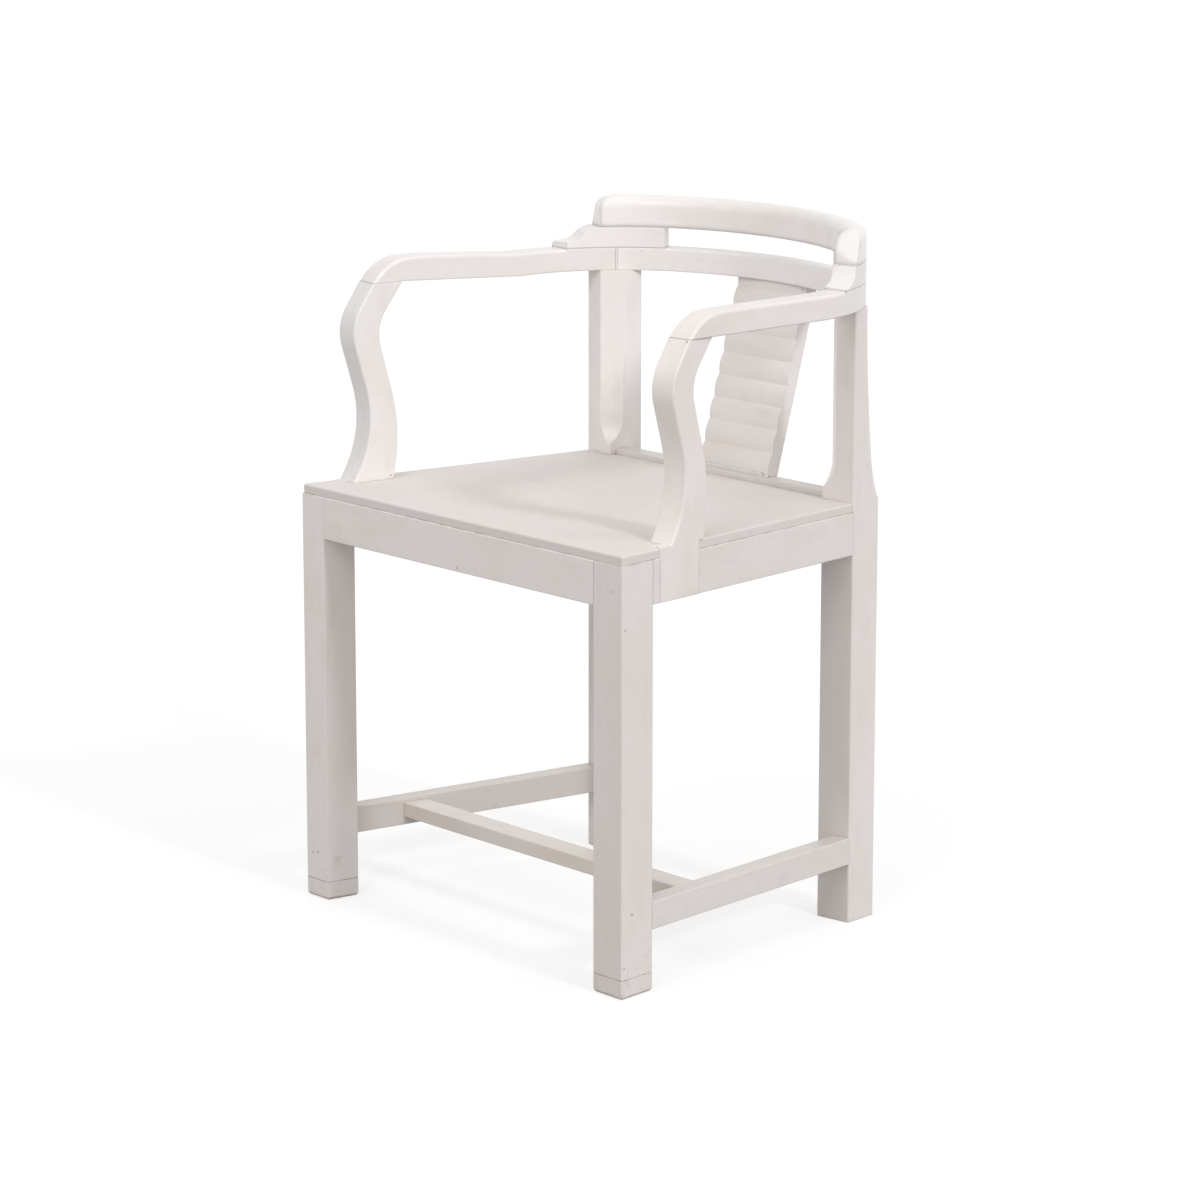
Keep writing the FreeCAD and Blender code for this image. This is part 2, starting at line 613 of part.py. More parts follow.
def side_apron(word, side):
    """A side rail of the seat frame, notched for the foot of the arm post."""
    depth = f"{word}_leg_depth"
    body = new_body(f"{word}_apron", side)
    plan = new_sketch(body, f"{word}_apron_plan", "XY_Plane", "apron_bottom")
    draw(plan, [go("0", depth), go("0", "post_front"), go("-apron_thickness", "post_front"),
                go("-apron_thickness", f"{depth} + apron_thickness * tan(splay)")], side)
    pad(body, f"{word}_apron_wood", plan, "apron_height")
    heights = (value_of("apron_bottom"), value_of("apron_top"))
    round_over(body, f"{word}_apron_edges", "rail_round",
               lambda edge: edge.BoundBox.XLength < value_of("snap") and any(level(edge, z) for z in heights))
    z = "apron_bottom + tenon_shoulder"
    size = ("tenon_thickness", "apron_thickness + tenon_length", "apron_height - 2 * tenon_shoulder")
    x = "-(apron_thickness + tenon_thickness) / 2"
    block(body, f"{word}_apron_front_tenon", "Additive", (x, f"{depth} - tenon_length", z), size, side)
    block(body, f"{word}_apron_rear_tenon", "Additive", (x, "post_front - apron_thickness", z), size, side)
    front, rear = post_foot(word, side)
    block(body, f"{word}_apron_lap", "Subtractive",
          ("-lap_depth", front, "apron_bottom - overrun"),
          ("lap_depth + overrun", f"{rear} - {front}", "apron_height + 2 * overrun"), side)
    for number, (x, y) in enumerate(side_peg_places()):
        seat_peg_hole(body, f"{word}_apron_peg_hole_{number}", x, y, "apron_top - seat_peg_drop", side)
    for number, (y, z) in enumerate(foot_peg_places(word, side)):
        cross_hole(body, f"{word}_apron_cross_hole_{number}", y, z, side)
    return body


def foot_peg_places(word, side):
    """Pegs that hold an arm post's foot in its notch: along the side, and height."""
    front, rear = post_foot(word, side)
    return [(f"{front} + {share} * ({rear} - {front})", f"apron_bottom + {1 - share} * apron_height")
            for share in FOOT_PEG_SHARES]


def cross_hole(body, name, y, z, side):
    """A level hole from the inner face of the apron into the arm post's foot."""
    feature = body.newObject("PartDesign::SubtractiveCylinder", name)
    feature.Placement = Placement(Vector(), Rotation(Vector(0, side, 0), 90))
    feature.setExpression("Radius", bound("peg_radius + clearance"))
    feature.setExpression("Height", bound("apron_thickness - lap_depth + peg_reach"))
    feature.setExpression("Placement.Base.x", bound(f"{side} * -apron_thickness"))
    feature.setExpression("Placement.Base.y", bound(y))
    feature.setExpression("Placement.Base.z", bound(z))
    return feature


def post_inner_face(y):
    """Where the inner face of the left back post is, across the chair, at a setback."""
    return f"(front_width / 2 - post_size / cos(splay) - ({y}) * tan(splay))"


def back_rail():
    """The rear rail of the seat frame. Its top stands above the seat and carries the splat."""
    body = new_body("back_rail")
    rear = "rail_setback + rail_thickness"
    front_x, rear_x = post_inner_face("rail_setback"), post_inner_face(rear)
    plan = new_sketch(body, "back_rail_plan", "XY_Plane", "apron_bottom")
    draw(plan, [go(front_x, "rail_setback"), go(rear_x, rear), go(f"-{rear_x}", rear),
                go(f"-{front_x}", "rail_setback")])
    pad(body, "back_rail_wood", plan, "rail_top - apron_bottom")
    heights = (value_of("apron_bottom"), value_of("rail_top"))
    round_over(body, "back_rail_edges", "rail_round",
               lambda edge: edge.BoundBox.YLength < value_of("snap") and any(level(edge, z) for z in heights))
    for word, side in SIDES.items():
        block(body, f"back_rail_{word}_tenon", "Additive",
              ("rail_end_x - rail_thickness", "rail_setback + (rail_thickness - tenon_thickness) / 2",
               "apron_bottom + tenon_shoulder"),
              ("rail_thickness + tenon_length", "tenon_thickness",
               "rail_top - apron_bottom - 2 * tenon_shoulder"), side)
    block(body, "splat_foot_mortise", "Subtractive",
          ("splat_foot_offset - splat_width / 2 + splat_tenon",
           "splat_foot_y + (splat_thickness - splat_tenon) / 2", "rail_top - splat_tenon - clearance"),
          ("splat_width - 2 * splat_tenon", "splat_tenon", "splat_tenon + clearance + overrun"))
    return body


def side_x(y):
    """Half width of the seat frame at a setback."""
    return f"(front_width / 2 - ({y}) * tan(splay))"


def board_x(y):
    """Half width of the seat boards at a setback."""
    return f"({side_x(y)} - board_inset / cos(splay))"


def seat_front_board():
    """The front seat board, with a notch on each side for the foot of the arm post."""
    body = new_body("seat_front_board")
    joint = "board_joint_setback"
    plan = new_sketch(body, "front_board_plan", "XY_Plane", "apron_top")
    corner = board_x("board_inset")
    draw(plan, [go(corner, "board_inset", "edge_round"), go(board_x(joint), joint),
                go(f"-{board_x(joint)}", joint), go(f"-{corner}", "board_inset", "edge_round")])
    pad(body, "front_board_wood", plan, "seat_thickness")
    top, back = value_of("seat_height"), value_of(joint)
    round_over(body, "front_board_edges", "edge_round",
               lambda edge: level(edge, top) and edge.BoundBox.YMin < back - value_of("snap"))
    for word, side in SIDES.items():
        front, rear = post_foot(word, side)
        block(body, f"front_board_{word}_notch", "Subtractive",
              ("-lap_depth", front, "apron_top - overrun"),
              ("lap_depth + overrun", f"{rear} - {front}", "seat_thickness + 2 * overrun"),
              side, (1, "splay"), ("front_width / 2", "0"))
    for number, (x, y) in enumerate(front_peg_places()):
        seat_peg_hole(body, f"front_board_peg_hole_{number}", x, y, "apron_top", depth="peg_reach")
    board_side_pegs(body, "front_board", (0,))
    return body


def board_side_pegs(body, stem, numbers):
    """Holes for the pegs along the sides of a seat board."""
    for word, side in SIDES.items():
        for number in numbers:
            x, y = plan_of(*side_peg_places()[number])
            seat_peg_hole(body, f"{stem}_{word}_peg_hole_{number}", x, y, "apron_top", side, "peg_reach")


def seat_back_board():
    """The rear seat board, cut round the back posts and butted against the back rail."""
    body = new_body("seat_back_board")
    joint = "board_joint_setback"
    outer = plan_of("-board_inset", "post_front")
    inner = plan_of("-post_size", "post_front")
    rail_corner = (post_inner_face("rail_setback"), "rail_setback")
    plan = new_sketch(body, "back_board_plan", "XY_Plane", "apron_top")
    half = [(board_x(joint), joint), outer, inner, rail_corner]
    corners = [go(*place) for place in half]
    corners += [go(f"-({x})", y) for x, y in reversed(half)]
    draw(plan, corners)
    pad(body, "back_board_wood", plan, "seat_thickness")
    top = value_of("seat_height")
    sides = [value_of(outer[0]), value_of(board_x(joint))]

    def outer_edge(edge):
        xs = sorted(abs(vertex.X) for vertex in edge.Vertexes)
        return level(edge, top) and max(abs(a - b) for a, b in zip(xs, sides)) < value_of("snap")

    round_over(body, "back_board_edges", "edge_round", outer_edge)
    board_side_pegs(body, "back_board", (1, 2))
    return body


def seat_batten():
    """A batten under the joint of the seat boards, from one side apron to the other."""
    body = new_body("seat_batten")
    front = "(board_joint_setback - batten_width / 2)"
    rear = "(board_joint_setback + batten_width / 2)"
    plan = new_sketch(body, "batten_plan", "XY_Plane", "apron_top - batten_height")
    inside = "apron_thickness / cos(splay)"
    front_x, rear_x = f"({side_x(front)} - {inside})", f"({side_x(rear)} - {inside})"
    draw(plan, [go(front_x, front), go(rear_x, rear), go(f"-{rear_x}", rear), go(f"-{front_x}", front)])
    pad(body, "batten_wood", plan, "batten_height")
    return body


def rear_seat_cleat():
    """A cleat along the back rail that carries the rear edge of the seat."""
    body = new_body("rear_seat_cleat")
    front = "(rail_setback - cleat_size)"
    half = f"({post_inner_face('rail_setback')} - cleat_size)"
    plan = new_sketch(body, "cleat_plan", "XY_Plane", "apron_top - cleat_size")
    draw(plan, [go(half, front), go(half, "rail_setback"), go(f"-{half}", "rail_setback"),
                go(f"-{half}", front)])
    pad(body, "cleat_wood", plan, "cleat_size")
    return body


def arm_rise(side):
    """How much the arm rises to the front on that side."""
    return "0" if side > 0 else "right_arm_rise"


def arm_post(word, side):
    """An S curved arm post whose foot is let into the side apron."""
    body = new_body(f"{word}_arm_post", side)
    base = post_base(side)
    front, rear = post_foot(word, side)
    top = f"(band_underside + {arm_rise(side)})"
    rise = f"({top} - seat_height)"

    def reach(share):
        return f"{base} + {share} * arm_post_depth"

    def curve(shares):
        return [go(reach(depth), f"seat_height + {height} * {rise}",
                   f"{soft} * {rise} * {rise} / arm_post_depth") for depth, height, soft in shares]

    profile = new_sketch(body, f"{word}_arm_post_profile", "YZ_Plane")
    draw(profile, [
        go(front, "apron_bottom"), go(rear, "apron_bottom"), go(rear, "seat_height"),
        go(reach(1), "seat_height"), *curve(POST_REAR_SHARES), go(reach(POST_TOP_SHARES[1]), top),
        go(reach(POST_TOP_SHARES[0]), top), *curve(POST_FRONT_SHARES), go(base, "seat_height"),
        go(front, "seat_height")])
    pad(body, f"{word}_arm_post_wood", profile, f"{word}_arm_post_thickness", side > 0)
    block(body, f"{word}_arm_post_shoulder", "Subtractive",
          (f"-{word}_arm_post_thickness - overrun", f"{front} - overrun", "apron_bottom - overrun"),
          (f"{word}_arm_post_thickness + overrun - lap_depth", f"{rear} - {front} + 2 * overrun",
           "apron_height + seat_thickness + overrun"), side)
    toe = f"{word}_toe"
    block(body, f"{word}_arm_post_hollow", "Subtractive",
          ("0", f"-{toe} - overrun", "apron_bottom - overrun"),
          ("overrun", f"{toe} + overrun", "apron_height + seat_thickness + 2 * overrun"),
          side, (-1, "toe_angle"), ("0", f"({base} - edge_round)"))
    low, high = value_of("seat_height"), value_of(top)
    snap = value_of("snap")

    def long_edge(edge):
        box = edge.BoundBox
        return (box.XLength < snap and box.ZMin > low - snap and box.ZMax < high + snap
                and box.ZLength > snap)

    round_over(body, f"{word}_arm_post_edges", "edge_round", long_edge)
    for number, (y, z) in enumerate(foot_peg_places(word, side)):
        cross_hole(body, f"{word}_foot_cross_hole_{number}", y, z, side)
    return body


def tangent_place(start, centre_y, radius):
    """Where the straight face of an arm runs into the bend, in the plan."""
    dx, dy = f"(({start[0]}) - bend_x)", f"({centre_y} - ({start[1]}))"
    angle = f"(acos({radius} / sqrt({dx}^2 + {dy}^2)) - atan2({dy}; {dx}))"
    return f"bend_x + {radius} * cos({angle})", f"{centre_y} + {radius} * sin({angle})"


def arm(word, side):
    """An arm: the front part of the horseshoe band, which rolls down over its post."""
    body = new_body(f"{word}_arm", side)
    base = post_base(side)
    rise = arm_rise(side)
    tip = f"({base} + {POST_TOP_SHARES[0]} * arm_post_depth)"
    heel = f"({base} + {POST_TOP_SHARES[1]} * arm_post_depth)"
    low, high = f"(band_underside + {rise})", f"(band_top + {rise})"
    slope = "band_height / tan(elbow_angle)"
    elbow = f"{ELBOW_SHARE} * band_height / sin(elbow_angle) / tan(elbow_angle / 2)"
    behind = "(side_run + arm_width)"
    start_outer = plan_of("0", tip)
    start_inner = plan_of(f"-{word}_arm_post_thickness", tip)
    bend_starts = (tangent_place(start_outer, "bend_outer_y", "bend_outer"),
                   tangent_place(start_inner, "bend_inner_y", "bend_radius"))
    rise_end = f"({side_local(*bend_starts[0])[1]} - arm_width / 2)"
    ease = "10 * arm_width"
    profile = new_sketch(body, f"{word}_arm_profile", "YZ_Plane")
    corners = [go(tip, low), go(heel, low)]
    if side < 0:
        corners.append(go(rise_end, "band_underside", ease))
    corners += [go(behind, "band_underside"), go(behind, "band_top")]
    if side < 0:
        corners += [go(rise_end, "band_top", ease), go(f"{tip} + 2 * {slope} + arm_width", high, ease)]
    corners.append(go(f"{tip} + {slope}", high, elbow))
    draw(profile, corners)
    pad(body, f"{word}_arm_wood", profile, "6 * arm_width", both_ways=True)

    outline = [
        go(*side_local(*start_outer)),
        go(*side_local(*bend_starts[0])),
        bend(*side_local(*outer_curve("seam_angle")), "bend_outer", 1),
        go(*side_local(*inner_curve("seam_angle"))),
        bend(*side_local(*bend_starts[1]), "bend_radius", -1),
        go(*side_local(*start_inner)),
    ]
    plan = new_sketch(body, f"{word}_arm_plan", "XY_Plane")
    draw(plan, outline, side)
    far = "7 * arm_width"
    draw(plan, [go(far, "-overrun"), go(far, f"{behind} + 2 * overrun"),
                go(f"-{far}", f"{behind} + 2 * overrun"), go(f"-{far}", "-overrun")], side)
    cut_through(body, f"{word}_arm_sides", plan)

    seam = [value_of(rule) for rule in side_local(*inner_curve("seam_angle"))]
    snap, width = value_of("snap"), value_of("arm_width")
    underside, top = value_of(low), value_of("band_top")

    def upper_edge(edge):
        """An edge along the arm above its underside, neither upright nor across its ends."""
        box = edge.BoundBox
        middle = edge.valueAt((edge.FirstParameter + edge.LastParameter) / 2)
        to_seam = math.hypot(middle.x - side * seam[0], middle.y - seam[1])
        across = box.YLength < snap or (to_seam < width and edge.Length < 2 * width and level(edge, top))
        upright = box.XLength < snap and box.YLength < snap
        return middle.z > underside + snap and not across and not upright

    round_over(body, f"{word}_arm_edges", "arm_round", upper_edge)
    square = new_sketch(body, f"{word}_arm_square", "XY_Plane", "band_top - arm_round")
    draw(square, sector(f"{word}_shoe_toe_angle", "seam_angle", side_local), side)
    pad(body, f"{word}_arm_shoe_seat", square, "arm_round")
    dowel_x, dowel_y = crest_dowel_places(word)[0]
    rod(body, f"{word}_arm_dowel_hole", "Subtractive", "dowel_radius + clearance", "dowel_reach",
        (*side_local(dowel_x, dowel_y), "band_top - dowel_reach"), side)
    rod(body, f"{word}_arm_seam_notch", "Subtractive", "post_tenon_radius + clearance",
        "band_height + 2 * overrun",
        ("-post_size / 2", "side_run - post_size / 2", "band_underside - overrun"), side)
    return body


def bow_rail():
    """The back of the horseshoe band, between the two arms."""
    body = new_body("bow_rail")
    plan = new_sketch(body, "bow_plan", "XY_Plane", "band_underside")
    draw(plan, horseshoe("seam_angle", "seam_angle"))
    pad(body, "bow_wood", plan, "band_height")
    top = value_of("band_top")
    round_over(body, "bow_edges", "edge_round",
               lambda edge: level(edge, top) and edge.Curve.TypeId == "Part::GeomCircle")
    for word, side in SIDES.items():
        square = new_sketch(body, f"bow_{word}_square", "XY_Plane", "band_top - edge_round")
        draw(square, sector("seam_angle", f"{word}_shoe_end_angle"), side)
        pad(body, f"bow_{word}_shoe_seat", square, "edge_round")
        rod(body, f"bow_{word}_notch", "Subtractive", "post_tenon_radius + clearance",
            "band_height + 2 * overrun", ("post_x", "post_y", "band_underside - overrun"), side)
        for number, (x, y) in enumerate(crest_dowel_places(word)[1:]):
            rod(body, f"bow_{word}_dowel_hole_{number}", "Subtractive", "dowel_radius + clearance",
                "dowel_reach", (x, y, "band_top - dowel_reach"), side)
    block(body, "splat_head_mortise", "Subtractive",
          ("splat_head_offset - splat_width / 2 + splat_tenon",
           "bow_front + splat_head_inset + (splat_thickness - splat_tenon) / 2", "band_underside - overrun"),
          ("splat_width - 2 * splat_tenon", "splat_tenon", "splat_tenon + clearance + overrun"))
    return body


def crest_dowel_places(word):
    """Dowels through a shoe, in the plan: one into the arm, one into the bow."""
    found = []
    for share in CREST_DOWEL_SHARES:
        angle = f"({word}_crest_end_angle + {share} * ({word}_shoe_end_angle - {word}_crest_end_angle))"
        found.append((f"bend_x + bend_middle * cos({angle})", f"bend_y + bend_middle * sin({angle})"))
    return found


def end_line(body, name, side, angle, place):
    """An upright sketch along the band at an angle round the bend, starting at a place of the plan."""
    line = new_sketch(body, name, "YZ_Plane")
    line.AttachmentOffset = Placement(Vector(), Rotation(Vector(0, side, 0), 1))
    line.setExpression("AttachmentOffset.Rotation.Angle", bound(angle))
    line.setExpression("AttachmentOffset.Base.x", bound(place[1]))
    line.setExpression("AttachmentOffset.Base.z", bound(f"{side} * ({place[0]})"))
    return line


def shoe(word, side):
    """A shoe: the block that covers the joint of the band and carries the crest rail."""
    body = new_body(f"{word}_shoe")
    toe, end, length = f"{word}_shoe_toe_angle", f"{word}_shoe_end_angle", f"{word}_shoe_toe"
    plan = new_sketch(body, f"{word}_shoe_plan", "XY_Plane", "band_top")
    draw(plan, sector(toe, end), side)
    pad(body, f"{word}_shoe_wood", plan, "shoe_height")
    line = end_line(body, f"{word}_shoe_toe_line", side, f"({toe} + {word}_crest_end_angle) / 2",
                    outer_curve(toe))
    steps = [go(f"{reach} * {length}", f"band_top + {height} * shoe_height",
                f"{soft} * {length}" if soft else None) for reach, height, soft in SHOE_TOE_SHARES[word]]
    draw(line, steps + [go(length, "crest_bottom + overrun"), go(f"-{length}", "crest_bottom + overrun"),
                        go(f"-{length}", "band_top")])
    cut_through(body, f"{word}_shoe_toe_cut", line)
    rod(body, f"{word}_shoe_post_bore", "Subtractive", "post_tenon_radius + clearance", "post_tenon_reach",
        ("post_x", "post_y", "band_top"), side)
    for number, (x, y) in enumerate(crest_dowel_places(word)):
        rod(body, f"{word}_shoe_dowel_hole_{number}", "Subtractive", "dowel_radius + clearance",
            "shoe_height + 2 * overrun", (x, y, "band_top - overrun"), side)
    return body


def crest_rail():
    """The heavy top rail, rounded over its top and down its ends."""
    body = new_body("crest_rail")
    plan = new_sketch(body, "crest_plan", "XY_Plane", "crest_bottom")
    draw(plan, horseshoe("left_crest_end_angle", "right_crest_end_angle"))
    pad(body, "crest_wood", plan, "crest_height")
    top = value_of("crest_bottom + crest_height")
    round_over(body, "crest_top", "crest_round",
               lambda edge: level(edge, top) and edge.Curve.TypeId == "Part::GeomCircle")
    for word, side in SIDES.items():
        end = f"{word}_crest_end_angle"
        line = end_line(body, f"crest_{word}_end_line", side, end, outer_curve(end))
        rise = [go(f"{along} * crest_height", f"crest_bottom + {up} * crest_height",
                   f"{soft} * crest_height" if soft else None) for along, up, soft in CREST_END_SHARES[word]]
        draw(line, rise + [go("-crest_height", "crest_bottom + 2 * crest_height"),
                           go("-crest_height", "crest_bottom")])
        cut_through(body, f"crest_{word}_end_cut", line)
        for number, (x, y) in enumerate(crest_dowel_places(word)):
            rod(body, f"crest_{word}_dowel_hole_{number}", "Subtractive", "dowel_radius + clearance",
                "dowel_reach", (x, y, "crest_bottom"), side)
    return body


def splat():
    """The leaning back board, carved with level ripples. Its head stands a little to one side."""
    body = new_body("splat")
    body.setExpression("Placement.Base.y", bound("splat_foot_y - bow_back / 2"))
    body.setExpression("Placement.Base.z", bound("rail_top"))

    ripple_radius = "((ripple_pitch^2 / 4 + ripple_depth^2) / (2 * ripple_depth))"
    count = math.ceil(value_of("(splat_rise / cos(splat_lean) - ripple_start) / ripple_pitch"))

    def groove(number):
        along = f"(ripple_start + {number} * ripple_pitch)"
        return (f"ripple_depth * cos(splat_lean) + {along} * sin(splat_lean)",
                f"{along} * cos(splat_lean) - ripple_depth * sin(splat_lean)")

    places_up = [groove(number) for number in range(-1, count + 1)]
    back = "splat_thickness / cos(splat_lean)"
    profile = new_sketch(body, "splat_profile", "YZ_Plane")
    corners = [go(*places_up[0])]
    corners += [bend(*place, ripple_radius, -1) for place in places_up[1:]]
    corners += [go(f"{places_up[-1][0]} + {back}", places_up[-1][1]),
                go(f"{places_up[0][0]} + {back}", places_up[0][1])]
    draw(profile, corners)
    pad(body, "splat_wood", profile, "2 * splat_width", both_ways=True)

    outline = new_sketch(body, "splat_outline", "XZ_Plane")
    half = "splat_width / 2"
    draw(outline, [go(f"splat_foot_offset - {half}", "0"), go(f"splat_foot_offset + {half}", "0"),
                   go(f"splat_head_offset + {half}", "splat_rise"),
                   go(f"splat_head_offset - {half}", "splat_rise")])
    wide, high = "(2 * splat_width)", "(splat_rise + 3 * ripple_pitch)"
    draw(outline, [go(f"-{wide}", "-3 * ripple_pitch"), go(wide, "-3 * ripple_pitch"),
                   go(wide, high), go(f"-{wide}", high)])
    cut_through(body, "splat_sides", outline)
    tenon = ("splat_width - 2 * splat_tenon", "splat_tenon", "splat_tenon + splat_tenon / 2")
    in_from_face = "(splat_thickness - splat_tenon) / 2"
    block(body, "splat_foot_tenon", "Additive",
          (f"splat_foot_offset - {half} + splat_tenon", in_from_face, "-splat_tenon"), tenon)
    block(body, "splat_head_tenon", "Additive",
          (f"splat_head_offset - {half} + splat_tenon",
           f"bow_front + splat_head_inset - splat_foot_y + {in_from_face}", "splat_rise - splat_tenon / 2"),
          tenon)
    return body


def side_stretcher(word, side):
    """A low side stretcher, mortised for the cross stretcher."""
    depth = f"{word}_leg_depth"
    body = new_body(f"{word}_side_stretcher", side)
    bottom = stretcher_bottom(side)
    plan = new_sketch(body, f"{word}_stretcher_plan", "XY_Plane", bottom)
    draw(plan, [go("0", depth), go("0", "post_front"), go("-stretcher_thickness", "post_front"),
                go("-stretcher_thickness", f"{depth} + stretcher_thickness * tan(splay)")], side)
    pad(body, f"{word}_stretcher_wood", plan, "stretcher_height")
    snap = value_of("snap")
    round_over(body, f"{word}_stretcher_edges", "rail_round",
               lambda edge: edge.BoundBox.XLength < snap and edge.BoundBox.ZLength < snap)
    z = f"{bottom} + tenon_shoulder"
    size = ("tenon_thickness", "stretcher_thickness + tenon_length", "stretcher_height - 2 * tenon_shoulder")
    x = "-(stretcher_thickness + tenon_thickness) / 2"
    block(body, f"{word}_stretcher_front_tenon", "Additive", (x, f"{depth} - tenon_length", z), size, side)
    block(body, f"{word}_stretcher_rear_tenon", "Additive",
          (x, "post_front - stretcher_thickness", z), size, side)
    end = stretcher_inner_face("cross_setback")
    block(body, f"{word}_cross_mortise", "Subtractive",
          (f"{end} - front_width / 2 - cross_width", "cross_setback + tenon_shoulder",
           "cross_bottom + cross_height / 4"),
          ("cross_width + cross_tenon + clearance", "cross_width - 2 * tenon_shoulder",
           "cross_height / 2"), side, (-1, "splay"))
    return body


def stretcher_inner_face(y):
    """Where the inner face of the left stretcher is, across the chair, at a setback."""
    return f"(front_width / 2 - stretcher_thickness / cos(splay) - ({y}) * tan(splay))"


def cross_stretcher():
    """The stretcher between the two side stretchers."""
    body = new_body("cross_stretcher")
    rear = "(cross_setback + cross_width)"
    front_x, rear_x = stretcher_inner_face("cross_setback"), stretcher_inner_face(rear)
    plan = new_sketch(body, "cross_plan", "XY_Plane", "cross_bottom")
    draw(plan, [go(front_x, "cross_setback"), go(rear_x, rear), go(f"-{rear_x}", rear),
                go(f"-{front_x}", "cross_setback")])
    pad(body, "cross_wood", plan, "cross_height")
    snap = value_of("snap")
    round_over(body, "cross_edges", "rail_round",
               lambda edge: edge.BoundBox.YLength < snap and edge.BoundBox.ZLength < snap)
    for word, side in SIDES.items():
        block(body, f"cross_{word}_tenon", "Additive",
              (f"{front_x} - cross_width", "cross_setback + tenon_shoulder",
               "cross_bottom + cross_height / 4"),
              ("cross_width + cross_tenon", "cross_width - 2 * tenon_shoulder", "cross_height / 2"), side)
    return body


def peg_group(name, pegs):
    """Equal pegs or dowels as one group. Each is radius, length, foot, side and whether it lies level."""
    members = []
    for number, (radius, height, foot, side, across) in enumerate(pegs):
        peg = doc.addObject("Part::Cylinder", f"{name}_{number}")
        peg.setExpression("Radius", bound(radius))
        peg.setExpression("Height", bound(height))
        if across:
            turned = Rotation(Vector(0, 1, 0), 90) if side > 0 else Rotation(Vector(0, 1, 0), -90)
            spin = Rotation(Vector(0, 0, side), value_of("splay"))
            peg.Placement = Placement(Vector(), spin * turned)
        for axis, rule in zip("xyz", (f"{side} * ({foot[0]})", foot[1], foot[2])):
            peg.setExpression(f"Placement.Base.{axis}", bound(rule))
        members.append(peg)
    group = doc.addObject("Part::Compound", name)
    group.Label = name
    group.Links = members
    group.setExpression("Placement.Base.y", bound("-bow_back / 2"))
    NODES.append(group)
    return group


def foot_dowels():
    """One dowel between each front leg and its foot block."""
    pegs = []
    for word, side in SIDES.items():
        x, y = plan_of(*leg_middle(f"{word}_leg_width", f"{word}_leg_depth"))
        foot = (x, y, "foot_block_height - dowel_reach")
        pegs.append(("dowel_radius", "2 * dowel_reach", foot, side, False))
    return peg_group("foot_dowels", pegs)


def crest_dowels():
    """Dowels that tie the crest rail through the shoes to the band."""
    pegs = [("dowel_radius", "shoe_height + 2 * dowel_reach", (x, y, "band_top - dowel_reach"), side, False)
            for word, side in SIDES.items() for x, y in crest_dowel_places(word)]
    return peg_group("crest_dowels", pegs)


def seat_pegs():
    """Blind pegs between the seat boards and the aprons."""
    foot = "apron_top - seat_peg_drop"
    length = "seat_peg_drop + peg_reach"
    pegs = [("peg_radius", length, (x, y, foot), 1, False) for x, y in front_peg_places()]
    for side in SIDES.values():
        for place in side_peg_places():
            x, y = plan_of(*place)
            pegs.append(("peg_radius", length, (x, y, foot), side, False))
    return peg_group("seat_pegs", pegs)


def arm_post_pegs():
    """Level pegs that hold the feet of the arm posts in their notches."""
    pegs = []
    for word, side in SIDES.items():
        for along, z in foot_peg_places(word, side):
            x, y = plan_of("-apron_thickness", along)
            pegs.append(("peg_radius", "apron_thickness - lap_depth + peg_reach", (x, y, z), side, True))
    return peg_group("arm_post_pegs", pegs)


for word, side in SIDES.items():
    front_leg(word, side)
    foot_block(word, side)
    back_post(word, side)
    side_apron(word, side)
    arm_post(word, side)
    arm(word, side)
    shoe(word, side)
    side_stretcher(word, side)
front_apron()
back_rail()
seat_front_board()
seat_back_board()
seat_batten()
rear_seat_cleat()
bow_rail()
crest_rail()
splat()
cross_stretcher()
foot_dowels()
crest_dowels()
seat_pegs()
arm_post_pegs()
doc.recompute()

faults = [f"{item.Label}: {', '.join(item.State)}" for item in doc.Objects
          if "Invalid" in item.State or "Error" in item.State]
faults += [f"{node.Label}: bad shape" for node in NODES if node.Shape.isNull() or not node.Shape.isValid()]
if faults:
    raise RuntimeError("; ".join(faults))

os.makedirs("parts", exist_ok=True)
for node in NODES:
    node.Shape.exportStep(f"parts/{node.Label}.step")
    print(f"{node.Label}: {len(node.Shape.Solids)} solid(s), {node.Shape.Volume / 1000:.1f} cm3")
box = Part.makeCompound([node.Shape for node in NODES]).BoundBox
print(f"overall {box.XLength:.1f} x {box.YLength:.1f} x {box.ZLength:.1f}, "
      f"from {box.XMin:.1f}, {box.YMin:.1f}, {box.ZMin:.1f}")
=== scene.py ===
# %% [markdown]
# # A horseshoe back armchair in white oil paint
#
# The chair is a low wooden armchair. Two arms and a back rail lie level and make one flat
# horseshoe, a heavy crest rail stands on two stepped shoes above it, and a rippled splat leans
# against the back. Somebody painted the whole chair white by hand, long ago.
#
# The wood itself comes as a fixed frame of separate pieces, each in its place. This lesson gives
# those pieces their paint, their wear and their light. It starts by loading them.

# %% Load the chair's pieces
import math

import bpy
from mathutils import Matrix, Vector


